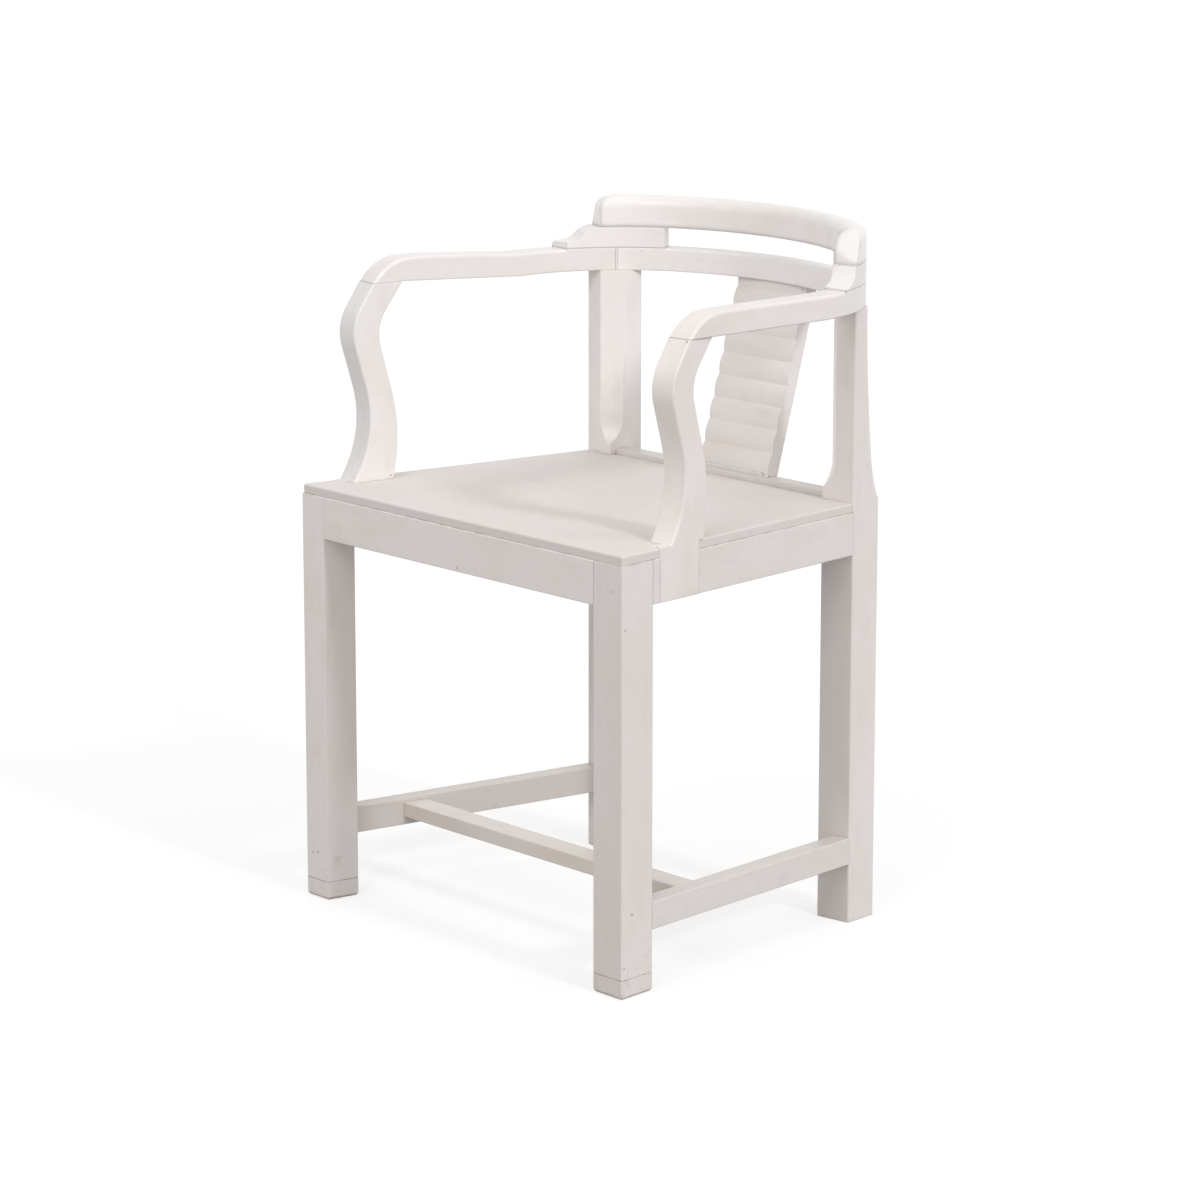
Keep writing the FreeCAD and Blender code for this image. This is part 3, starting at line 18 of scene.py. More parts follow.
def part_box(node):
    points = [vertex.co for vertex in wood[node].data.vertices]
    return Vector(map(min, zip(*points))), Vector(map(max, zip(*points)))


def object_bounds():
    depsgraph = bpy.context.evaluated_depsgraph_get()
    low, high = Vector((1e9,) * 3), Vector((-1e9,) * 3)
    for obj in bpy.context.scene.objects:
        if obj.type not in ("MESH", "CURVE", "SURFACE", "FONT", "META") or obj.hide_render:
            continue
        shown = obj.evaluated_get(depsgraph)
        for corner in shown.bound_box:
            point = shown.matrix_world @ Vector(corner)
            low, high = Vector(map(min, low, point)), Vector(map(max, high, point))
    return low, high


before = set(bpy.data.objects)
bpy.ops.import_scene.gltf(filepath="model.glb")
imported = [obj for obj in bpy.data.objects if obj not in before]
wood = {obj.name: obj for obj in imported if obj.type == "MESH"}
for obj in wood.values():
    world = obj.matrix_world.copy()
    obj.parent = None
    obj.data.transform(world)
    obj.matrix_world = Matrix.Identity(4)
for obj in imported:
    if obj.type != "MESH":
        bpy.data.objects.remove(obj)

box_at_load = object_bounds()
print(len(wood), "pieces of wood, from", [round(c, 4) for c in box_at_load[0]],
      "to", [round(c, 4) for c in box_at_load[1]])

# %% [markdown]
# ## Sizes the finish needs
#
# Paint follows the piece that it is on: brush strokes run along a leg, across a rail and round a
# bend. So a few sizes of the chair are read from its pieces, such as the slope of its sides, and
# everything later is placed from them. The box of a bent piece says nothing of its bend, so the
# middle and reach of the bend, and the joint of arm and bow over each back post, are written here.

# %% Measure the chair
front_face = box_at_load[0].y
front_left_low, front_left_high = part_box("front_left_leg")
_, back_left_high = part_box("back_left_post")
seat_low, seat_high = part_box("seat_front_board")
band_low, band_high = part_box("bow_rail")
foot_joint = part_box("front_left_foot_block")[1].z
splay = math.atan2(front_left_high.x - back_left_high.x, back_left_high.y - front_left_low.y)
bend_centre_y = 0.0088
bend_reach = 0.2
post_middle_x, post_middle_y = 0.18026, 0.14362
seam_turn = math.radians(38.94)
arm_underside = band_low.z
right_arm_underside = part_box("right_arm_post")[1].z
print("seat top", round(seat_high.z, 4), "band top", round(band_high.z, 4),
      "splay", round(math.degrees(splay), 2), "degrees, foot joint at", round(foot_joint, 4))

# %% [markdown]
# ## Building shader effects
#
# Every finish below is a net of shader nodes. A few short helpers keep that readable: one adds a
# node, one joins two sockets, one does arithmetic, one starts a material, and one starts a named
# group with named inputs and outputs. A group is built once and then placed in each material with
# its own values, as a painter uses one brush for many boards.


# %% Helpers for shader nodes
def join(tree, source, target):
    """Joins an output to an input, or sets the input where the source is a plain value."""
    if isinstance(source, bpy.types.NodeSocket):
        tree.links.new(source, target)
    else:
        target.default_value = source


def add(tree, kind, inputs=None, **settings):
    """Adds a node, sets it up and feeds its inputs by name or number."""
    node = tree.nodes.new(kind)
    for key, value in settings.items():
        setattr(node, key, value)
    for key, value in (inputs or {}).items():
        join(tree, value, node.inputs[key])
    return node


def sums(tree, operation, *values, clamp=False):
    """One arithmetic step."""
    node = add(tree, "ShaderNodeMath", operation=operation, use_clamp=clamp)
    for number, value in enumerate(values):
        join(tree, value, node.inputs[number])
    return node.outputs[0]


def between(tree, value, low, high, start=0.0, end=1.0):
    """Turns a value from low to high smoothly into one from start to end."""
    node = add(tree, "ShaderNodeMapRange", interpolation_type="SMOOTHSTEP", clamp=True)
    for name, source in (("Value", value), ("From Min", low), ("From Max", high),
                         ("To Min", start), ("To Max", end)):
        join(tree, source, node.inputs[name])
    return node.outputs[0]


def blend(tree, share, first, second):
    """Mixes two colours."""
    node = add(tree, "ShaderNodeMix", data_type="RGBA")
    join(tree, share, node.inputs[0])
    join(tree, first, node.inputs[6])
    join(tree, second, node.inputs[7])
    return node.outputs[2]


def stretch(tree, place, factors, shift=(0, 0, 0)):
    """Scales a place along its three axes and shifts it."""
    return add(tree, "ShaderNodeVectorMath", {0: place, 1: factors, 2: shift},
               operation="MULTIPLY_ADD").outputs[0]


def noise(tree, place, scale, detail=2.0, rough=0.5, bend=0.0):
    """Soft cloudy noise from 0 to 1."""
    node = add(tree, "ShaderNodeTexNoise", {"Vector": place, "Scale": scale, "Detail": detail,
                                            "Roughness": rough, "Distortion": bend})
    return node.outputs["Fac"]


def new_material(name):
    """Starts a material. Returns it and its tree."""
    material = bpy.data.materials.new(name)
    material.use_nodes = True
    return material, material.node_tree


def new_group(name, inputs, outputs):
    """Starts a node group. Returns its tree, its input sockets by name and its output node."""
    tree = bpy.data.node_groups.new(name, "ShaderNodeTree")
    kinds = {"value": "NodeSocketFloat", "colour": "NodeSocketColor", "place": "NodeSocketVector"}
    for label, kind, preset in inputs:
        socket = tree.interface.new_socket(name=label, in_out="INPUT", socket_type=kinds[kind])
        if preset is not None:
            socket.default_value = preset
    for label, kind in outputs:
        tree.interface.new_socket(name=label, in_out="OUTPUT", socket_type=kinds[kind])
    return tree, tree.nodes.new("NodeGroupInput").outputs, tree.nodes.new("NodeGroupOutput").inputs


def use(tree, group, **inputs):
    """Places a group in a material. Input names are written with underscores for spaces."""
    node = tree.nodes.new("ShaderNodeGroup")
    node.node_tree = group
    for name, value in inputs.items():
        join(tree, value, node.inputs[name.replace("_", " ")])
    return node.outputs


print("helpers ready")

# %% [markdown]
# ## Which way the brush went
#
# On the real chair the paint lies in strokes along each piece. A texture needs a place whose
# first number runs along the strokes, so this group turns a point of the chair into such a place.
# Straight pieces only need their axes turned. The band, the shoes and the crest rail bend round
# the sitter, so their strokes follow the angle round the middle of the back, and run on straight
# along the arms.


# %% Groups that give a place along the stroke
def straight_stroke(name, turn, order):
    """A place whose first number runs along the stroke of a straight piece."""
    tree, _, out = new_group(name, [], [("Stroke", "place")])
    point = add(tree, "ShaderNodeTexCoord").outputs["Object"]
    turned = add(tree, "ShaderNodeVectorRotate", {"Vector": point, "Angle": turn},
                 rotation_type="Z_AXIS")
    parts = add(tree, "ShaderNodeSeparateXYZ", {0: turned.outputs[0]}).outputs
    place = add(tree, "ShaderNodeCombineXYZ", {i: parts[axis] for i, axis in enumerate(order)})
    join(tree, place.outputs[0], out["Stroke"])
    return tree


def bent_stroke():
    """A place whose first number runs round the horseshoe and straight along its arms."""
    tree, _, out = new_group("stroke round the bend", [], [("Stroke", "place")])
    point = add(tree, "ShaderNodeTexCoord").outputs["Object"]
    parts = add(tree, "ShaderNodeSeparateXYZ", {0: point}).outputs
    back = sums(tree, "SUBTRACT", parts["Y"], bend_centre_y)
    behind = sums(tree, "MAXIMUM", back, 0.0)
    ahead = sums(tree, "MINIMUM", back, 0.0)
    angle = sums(tree, "ARCTAN2", behind, parts["X"])
    straight = sums(tree, "MULTIPLY", ahead, sums(tree, "SIGN", parts["X"]))
    along = sums(tree, "MULTIPLY_ADD", angle, bend_reach, straight)
    flat = add(tree, "ShaderNodeCombineXYZ", {"X": parts["X"], "Y": behind}).outputs[0]
    across = add(tree, "ShaderNodeVectorMath", {0: flat}, operation="LENGTH").outputs["Value"]
    place = add(tree, "ShaderNodeCombineXYZ", {"X": along, "Y": across, "Z": parts["Z"]})
    join(tree, place.outputs[0], out["Stroke"])
    return tree


strokes = {
    "upright": straight_stroke("stroke upright", 0.0, ("Z", "X", "Y")),
    "across": straight_stroke("stroke across", 0.0, ("X", "Y", "Z")),
    "left side": straight_stroke("stroke along the left side", -splay, ("Y", "X", "Z")),
    "right side": straight_stroke("stroke along the right side", splay, ("Y", "X", "Z")),
    "bend": bent_stroke(),
}
print("strokes:", ", ".join(strokes))

# %% [markdown]
# ## The coat of paint
#
# Old white oil paint is not one colour. It has yellowed a little more in some places, it is a
# shade thinner and pinker where the wood shows through, and the brush has left fine ridges and a
# few runs. The group makes that cloudiness, the ridges and the change in gloss. It is noise that
# is stretched along the stroke, because that is how a brush spreads paint.

# %% Group: brushed oil paint
tree, given, out = new_group(
    "brushed oil paint",
    [("Stroke", "place", None), ("Paint", "colour", (0.80, 0.76, 0.73, 1)),
     ("Yellowed", "colour", (0.72, 0.66, 0.58, 1)), ("Thin", "colour", (0.68, 0.60, 0.57, 1)),
     ("Cloudiness", "value", 0.5), ("Ridges", "value", 0.5)],
    [("Colour", "colour"), ("Roughness", "value"), ("Height", "value")])
stroke = given["Stroke"]
slow = noise(tree, stretch(tree, stroke, (6, 11, 11), (3.1, 1.7, 0.4)), 1.0, 3.0, 0.55, 0.3)
patch = noise(tree, stretch(tree, stroke, (22, 60, 60), (0.3, 4.2, 2.2)), 1.0, 4.0, 0.6, 0.2)
ridge = noise(tree, stretch(tree, stroke, (14, 620, 620)), 1.0, 3.0, 0.65, 0.4)
broad_ridge = noise(tree, stretch(tree, stroke, (9, 170, 170), (7.0, 1.0, 5.0)), 1.0, 2.0, 0.5, 0.6)
lump = noise(tree, stroke, 260.0, 2.0, 0.5)
yellow = sums(tree, "MULTIPLY", between(tree, slow, 0.42, 0.72), given["Cloudiness"])
thin = sums(tree, "MULTIPLY", between(tree, patch, 0.5, 0.75, 0.0, 0.6), given["Cloudiness"])
streak = sums(tree, "MULTIPLY", between(tree, ridge, 0.55, 0.8, 0.0, 0.28), given["Cloudiness"])
colour = blend(tree, yellow, given["Paint"], given["Yellowed"])
colour = blend(tree, thin, colour, given["Thin"])
colour = blend(tree, streak, colour, given["Thin"])
join(tree, colour, out["Colour"])
gloss = sums(tree, "MULTIPLY_ADD", patch, 0.22, 0.22)
join(tree, sums(tree, "MULTIPLY_ADD", ridge, 0.12, gloss), out["Roughness"])
height = sums(tree, "MULTIPLY_ADD", ridge, 0.55, broad_ridge)
height = sums(tree, "MULTIPLY_ADD", lump, 0.3, height)
join(tree, sums(tree, "MULTIPLY", height, given["Ridges"]), out["Height"])
oil_paint = tree
print("group", oil_paint.name, "has", len(tree.nodes), "nodes")

# %% [markdown]
# ## Dirt and painted shade where pieces meet
#
# Where a rail runs into a leg, or the seat meets a post, old paint shrinks into a dark hairline,
# and some dirt gathers where a duster never reaches. Ambient occlusion finds such corners: it asks
# how much of the sky over a point is shut off by wood within a few millimetres. Over the wider
# reach it paints brown into the corner, which is painted shade as well as dirt, and within two
# millimetres it gives the dark hairline. Noise breaks both up, since no crack is even.

# %% Group: dirt and painted shade in the corners
tree, given, out = new_group(
    "grime and painted shade in the corners",
    [("Stroke", "place", None), ("Reach", "value", 0.012), ("Amount", "value", 0.6)],
    [("Dirt and shade", "value"), ("Crack", "value")])
soft_corner = add(tree, "ShaderNodeAmbientOcclusion", {"Distance": given["Reach"]}, samples=8)
crack_reach = 0.0022
tight_corner = add(tree, "ShaderNodeAmbientOcclusion", {"Distance": crack_reach}, samples=8)
speckle = noise(tree, given["Stroke"], 90.0, 3.0, 0.6)
# Painted shade and dirt: the more of the sky a corner shuts off, the browner it is painted.
shut = sums(tree, "SUBTRACT", 1.0, soft_corner.outputs["AO"])
shut = between(tree, sums(tree, "MULTIPLY", shut, sums(tree, "ADD", speckle, 0.5)), 0.28, 0.95)
join(tree, sums(tree, "MULTIPLY", shut, given["Amount"]), out["Dirt and shade"])
slit = sums(tree, "SUBTRACT", 1.0, tight_corner.outputs["AO"])
slit = between(tree, sums(tree, "MULTIPLY", slit, sums(tree, "ADD", speckle, 0.35)), 0.34, 0.6)
join(tree, sums(tree, "MULTIPLY", slit, given["Amount"]), out["Crack"])
corner_dirt_and_shade = tree
print("group", corner_dirt_and_shade.name, "has", len(tree.nodes), "nodes")

# %% [markdown]
# ## Worn edges and chips
#
# Hands, trousers and brooms rub the edges first. The coat is thin there, and here and there a
# flake has gone and dark wood shows. A bevel node compares the true surface direction with one
# that is smoothed over a few millimetres. Where the two differ there is an edge. Chips are sparse
# random cells, and they come mostly near edges.

# %% Group: worn edges and chips
tree, given, out = new_group(
    "worn edges and chips",
    [("Stroke", "place", None), ("Edge width", "value", 0.0016), ("Wear", "value", 0.5),
     ("Chips", "value", 0.5)],
    [("Worn", "value"), ("Chip", "value"), ("Edge", "value")])
surface = add(tree, "ShaderNodeNewGeometry").outputs["Normal"]
smoothed = add(tree, "ShaderNodeBevel", {"Radius": given["Edge width"]}, samples=6).outputs[0]
alike = add(tree, "ShaderNodeVectorMath", {0: surface, 1: smoothed}, operation="DOT_PRODUCT")
edge = between(tree, sums(tree, "SUBTRACT", 1.0, alike.outputs["Value"]), 0.02, 0.2)
rubbed = noise(tree, stretch(tree, given["Stroke"], (60, 150, 150)), 1.0, 3.0, 0.6)
worn = sums(tree, "MULTIPLY", edge, between(tree, rubbed, 0.45, 0.7))
join(tree, sums(tree, "MULTIPLY", worn, given["Wear"]), out["Worn"])
join(tree, edge, out["Edge"])
wobble = add(tree, "ShaderNodeTexNoise", {"Vector": given["Stroke"], "Scale": 700.0, "Detail": 2.0})
frayed_by = 0.0016
shaken = stretch(tree, wobble.outputs["Color"], (frayed_by,) * 3, given["Stroke"])
cells = add(tree, "ShaderNodeTexVoronoi", {"Vector": shaken, "Scale": 95.0, "Randomness": 1.0})
chance = add(tree, "ShaderNodeSeparateColor", {0: cells.outputs["Color"]}).outputs
rare = sums(tree, "GREATER_THAN", chance[0], sums(tree, "MULTIPLY_ADD", edge, -0.10, 0.996))
size = sums(tree, "MULTIPLY_ADD", chance[1], 0.13, 0.035)
flake = sums(tree, "LESS_THAN", cells.outputs["Distance"], size)
chip = sums(tree, "MULTIPLY", sums(tree, "MULTIPLY", flake, rare), given["Chips"], clamp=True)
join(tree, chip, out["Chip"])
edge_wear = tree
print("group", edge_wear.name, "has", len(tree.nodes), "nodes")

# %% [markdown]
# ## Scuffs near the floor
#
# Shoes and mops have marked the feet with thin grey strokes and a dull tide line. The marks fade
# out a hand's breadth above the floor, so the group takes the height at which they end.

# %% Group: scuffs near the floor
tree, given, out = new_group(
    "scuffs near the floor",
    [("Stroke", "place", None), ("Up to", "value", 0.16), ("Amount", "value", 0.5)],
    [("Scuff", "value")])
point = add(tree, "ShaderNodeTexCoord").outputs["Object"]
height = add(tree, "ShaderNodeSeparateXYZ", {0: point}).outputs["Z"]
low = between(tree, height, 0.0, given["Up to"], 1.0, 0.0)
stroke = given["Stroke"]
scratch = noise(tree, stretch(tree, stroke, (420, 60, 60), (2.0, 0.0, 9.0)), 1.0, 3.0, 0.7, 0.8)
smear = noise(tree, stretch(tree, stroke, (40, 70, 70)), 1.0, 3.0, 0.6)
thin_marks = between(tree, scratch, 0.6, 0.74)
broad_marks = between(tree, smear, 0.5, 0.8, 0.0, 0.5)
marks = sums(tree, "MULTIPLY", sums(tree, "ADD", thin_marks, broad_marks, clamp=True), low)
join(tree, sums(tree, "MULTIPLY", marks, given["Amount"]), out["Scuff"])
floor_scuffs = tree
print("group", floor_scuffs.name, "has", len(tree.nodes), "nodes")

# %% [markdown]
# ## Hairlines over the joints
#
# The paint bridges each joint, and where the wood has moved it has split into a line no wider
# than a hair. Some joints lie flush, so no corner gives them away. The group therefore takes a
# point on the joint and the direction across it, and darkens what lies within a hair of that plane.
# A face that lies in the plane itself, such as the top of the arm beside a shoe, stays clean.

# %% Group: hairline over a joint
tree, given, out = new_group(
    "hairline over a joint",
    [("Joint", "place", (0, 0, 0)), ("Across", "place", (0, 0, 1)), ("Width", "value", 0.0005),
     ("Amount", "value", 0.6), ("Gaps", "value", 0.45), ("Below", "value", 1.0)],
    [("Line", "value")])
point = add(tree, "ShaderNodeTexCoord").outputs["Object"]
height = add(tree, "ShaderNodeSeparateXYZ", {0: point}).outputs["Z"]
low = sums(tree, "LESS_THAN", height, given["Below"])
offset = add(tree, "ShaderNodeVectorMath", {0: point, 1: given["Joint"]}, operation="SUBTRACT")
away = add(tree, "ShaderNodeVectorMath", {0: offset.outputs[0], 1: given["Across"]},
           operation="DOT_PRODUCT")
wavers_by = 0.0006
waver = sums(tree, "MULTIPLY_ADD", noise(tree, point, 45.0, 2.0, 0.5), wavers_by, -wavers_by / 2)
away = sums(tree, "ABSOLUTE", sums(tree, "ADD", away.outputs["Value"], waver))
line = between(tree, away, sums(tree, "MULTIPLY", given["Width"], 0.5), given["Width"], 1.0, 0.0)
surface = add(tree, "ShaderNodeNewGeometry").outputs["Normal"]
facing = add(tree, "ShaderNodeVectorMath", {0: surface, 1: given["Across"]},
             operation="DOT_PRODUCT")
beside = between(tree, sums(tree, "ABSOLUTE", facing.outputs["Value"]), 0.5, 0.8, 1.0, 0.0)
broken = between(tree, noise(tree, point, 60.0, 3.0, 0.6), given["Gaps"],
                 sums(tree, "ADD", given["Gaps"], 0.16), 0.25, 1.0)
for share in (beside, broken, low, given["Amount"]):
    line = sums(tree, "MULTIPLY", line, share)
join(tree, line, out["Line"])
joint_hairline = tree
print("group", joint_hairline.name, "has", len(tree.nodes), "nodes")

# %% [markdown]
# ## Single chips and spots
#
# A few flakes are missing in places that anyone who knows this chair would look for: near the feet,
# at the head of the left arm post, at the corners of the splat. Each is listed with its place. The
# group takes its middle and its size, and noise frays its rim.

# %% Group: chip at a place
tree, given, out = new_group(
    "chip at a place",
    [("Middle", "place", (0, 0, 0)), ("Size", "value", 0.0012), ("Amount", "value", 0.7)],
    [("Chip", "value")])
point = add(tree, "ShaderNodeTexCoord").outputs["Object"]
fray = add(tree, "ShaderNodeTexNoise", {"Vector": point, "Scale": 620.0, "Detail": 2.0})
frayed_by = 0.0022
frayed = stretch(tree, fray.outputs["Color"], (frayed_by,) * 3, point)
frayed = add(tree, "ShaderNodeVectorMath", {0: frayed, 1: (-frayed_by / 2,) * 3}).outputs[0]
away = add(tree, "ShaderNodeVectorMath", {0: frayed, 1: given["Middle"]}, operation="DISTANCE")
core = sums(tree, "MULTIPLY", given["Size"], 0.5)
spot = between(tree, away.outputs["Value"], core, given["Size"], 1.0, 0.0)
join(tree, sums(tree, "MULTIPLY", spot, given["Amount"]), out["Chip"])
placed_chip = tree
print("group", placed_chip.name, "has", len(tree.nodes), "nodes")

# %% [markdown]
# ## White oil paint as a material
#
# Each material is one coat: the paint, then scuffs, dirt and painted shade in the corners, worn
# edges, hairlines and chips laid over it in that order, and a fine bump from the ridges. The gloss
# is a half gloss, as oil paint has after years. The pieces share the groups but not the values:
# feet get more dirt and painted shade in their corners, the arms are rubbed by hands, and the
# grooves of the carved splat are darkened with dirt and painted shade. Along the arrises a lighter
# white is painted as a highlight, and a bevel node rounds them: it turns the light softly over each
# arris, by the softness that the coat names.

# %% White paint material
paint_white = (0.80, 0.76, 0.745, 1)
# A lighter white, painted along the arrises as a highlight.
painted_highlight_white = (0.95, 0.93, 0.91, 1)
# Brown that is painted into the corners, as dirt and as painted shade.
dirt_and_shade_brown = (0.36, 0.30, 0.26, 1)
crack_and_shade_brown = (0.24, 0.18, 0.155, 1)
worn_white = (0.70, 0.64, 0.60, 1)
bare_brown = (0.17, 0.12, 0.09, 1)
scuff_grey = (0.44, 0.40, 0.37, 1)
hole_depth = -2.0
dirt_and_shade_dulls, wood_dulls = 0.35, 0.4


def white_paint(name, stroke, tone=1.0, hue=(1, 1, 1), cloud=0.45, dirt_and_shade=0.5, reach=0.010, wear=0.35,
                chips=0.5, scuffs=0.0, arris_highlight=0.45, matt=0.0, varnish=0.25, softness=0.0013,
                joints=(), spots=()):
    """A coat of white oil paint with its own share of each kind of age.

    Tone makes it lighter or darker, and hue does that for red, green and blue; both carry painted
    light and shade as well as the paint's own colour. Reach is how far the dirt and painted shade
    come out of a corner, the arris share is how much lighter white is painted along the arrises as
    a highlight, matt adds roughness, varnish is the clear gloss over the paint, and softness is the
    radius that rounds the arrises.
    """
    material, tree = new_material(name)
    skin = tree.nodes["Principled BSDF"]
    place = use(tree, strokes[stroke])["Stroke"]
    # Tone and hue carry painted light and shade as well as the paint's own colour.
    paint = (*(channel * tone * share for channel, share in zip(paint_white, hue)), 1)
    coat = use(tree, oil_paint, Stroke=place, Paint=paint, Cloudiness=cloud)
    corners = use(tree, corner_dirt_and_shade, Stroke=place, Reach=reach, Amount=dirt_and_shade)
    rubs = use(tree, edge_wear, Stroke=place, Wear=wear, Chips=chips)
    missing, crack = rubs["Chip"], corners["Crack"]
    # Painted highlight: the lighter white along every arris.
    colour = blend(tree, sums(tree, "MULTIPLY", rubs["Edge"], arris_highlight), coat["Colour"], painted_highlight_white)
    for middle, size, amount in spots:
        spot = use(tree, placed_chip, Middle=middle, Size=size, Amount=amount)["Chip"]
        missing = sums(tree, "MAXIMUM", missing, spot)
    for joint, across, width, amount, below in joints:
        line = use(tree, joint_hairline, Joint=joint, Across=across, Width=width, Amount=amount,
                   Below=below)["Line"]
        crack = sums(tree, "MAXIMUM", crack, line)
    if scuffs:
        feet = use(tree, floor_scuffs, Stroke=place, Amount=scuffs)
        colour = blend(tree, feet["Scuff"], colour, scuff_grey)
    # Painted shade and dirt: brown in the corners that the occlusion finds.
    colour = blend(tree, corners["Dirt and shade"], colour, dirt_and_shade_brown)
    colour = blend(tree, rubs["Worn"], colour, worn_white)
    colour = blend(tree, crack, colour, crack_and_shade_brown)
    colour = blend(tree, missing, colour, bare_brown)
    join(tree, colour, skin.inputs["Base Color"])
    rough = sums(tree, "MULTIPLY_ADD", corners["Dirt and shade"], dirt_and_shade_dulls, coat["Roughness"])
    rough = sums(tree, "MULTIPLY_ADD", missing, wood_dulls, sums(tree, "ADD", rough, matt))
    join(tree, rough, skin.inputs["Roughness"])
    holes = sums(tree, "MAXIMUM", missing, crack)
    height = sums(tree, "MULTIPLY_ADD", holes, hole_depth, coat["Height"])
    rounded = add(tree, "ShaderNodeBevel", {"Radius": softness}, samples=6).outputs[0]
    bump = add(tree, "ShaderNodeBump", {"Height": height, "Strength": 0.22, "Distance": 0.0006,
                                        "Normal": rounded})
    join(tree, bump.outputs[0], skin.inputs["Normal"])
    skin.inputs["Coat Weight"].default_value = varnish
    skin.inputs["Coat Roughness"].default_value = 0.12
    return material


print("paint ready, white", paint_white[:3])

# %% [markdown]
# ## Where each piece shows its age
#
# The same joints show on the pieces at both sides of them, so they are named once here: a point on
# the joint, the direction across it, the width of the line, how dark it is, and the height that it
# ends at. No part of the chair is as high as a metre, so a line that ends there has no end.

# %% The joints that show
no_end = 1.0


def level_joint(height, width, amount):
    """A joint that lies level."""
    return (0, 0, height), (0, 0, 1), width, amount, no_end


def left_side_joint(along, width, amount):
    """An upright joint across the chair's left side below the seat, at a reach behind its front."""
    back, out = math.cos(splay), -math.sin(splay)
    place = (box_at_load[1].x + along * out, front_face + along * back, 0)
    return place, (out, back, 0), width, amount, seat_high.z


def seam_joint(side):
    """The upright joint between arm and bow over a back post. Side is 1 on the left, -1 right."""
    across = (-side * math.sin(seam_turn), math.cos(seam_turn), 0)
    return (side * post_middle_x, post_middle_y, 0), across, 0.0006, 0.55, no_end


foot_line = level_joint(foot_joint, 0.0007, 0.7)
left_head_line = level_joint(arm_underside, 0.0005, 0.35)
right_head_line = level_joint(right_arm_underside, 0.0005, 0.3)
shoe_foot_line = level_joint(band_high.z, 0.0005, 0.3)
crest_line = level_joint(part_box("left_shoe")[1].z, 0.0007, 0.35)
board_line = level_joint(seat_low.z, 0.0009, 0.55)
left_seam, right_seam = seam_joint(1), seam_joint(-1)
post_foot_front = left_side_joint(0.0555, 0.0013, 1.0)
post_foot_rear = left_side_joint(0.1130, 0.0006, 0.4)
post_foot_lines = (post_foot_front, post_foot_rear)
print("left seam at", left_seam[0], "across", [round(c, 3) for c in left_seam[1]])

# %% [markdown]
# ## The coats
#
# Every piece has its own coat. The upper pieces are painted the whitest, the seat and the low rails
# darker, and two of the three low rails are yellower too. These tones and hues are painted light:
# they stand in for more light on the top of the chair and warmer shade low down. The seat is also
# more matt. What several pieces share has a name, such as the paint of bent pieces, and a piece
# adds its own values to it. They were settled by setting the picture beside the real chair, piece
# by piece.
# A spot is a single chip: its middle, its size and how much of the paint it takes away.

# %% A coat for each painted piece
# Hues that paint light: a cooler white for the upper pieces, against the pink of the warm room
# light, and a warmer white for the shade near the floor.
cooler_lit_white, half_cooler_lit_white, warmer_shade_white = (1, 1.028, 1.038), (1, 1.014, 1.02), (1, 0.98, 0.935)
bend_paint = {"stroke": "bend", "cloud": 0.35, "wear": 0.3, "dirt_and_shade": 0.22, "softness": 0.0022}
shoe_paint = dict(bend_paint, tone=1.06, hue=cooler_lit_white, softness=0.003)
upright_paint = {"stroke": "upright"}
foot_paint = {"stroke": "upright", "dirt_and_shade": 0.8, "wear": 0.7, "chips": 0.7, "scuffs": 0.9,
              "joints": (foot_line,)}
low_paint = {"dirt_and_shade": 0.7, "scuffs": 0.45}
seat_paint = {"stroke": "across", "tone": 0.90, "cloud": 0.5, "matt": 0.15, "varnish": 0.0}
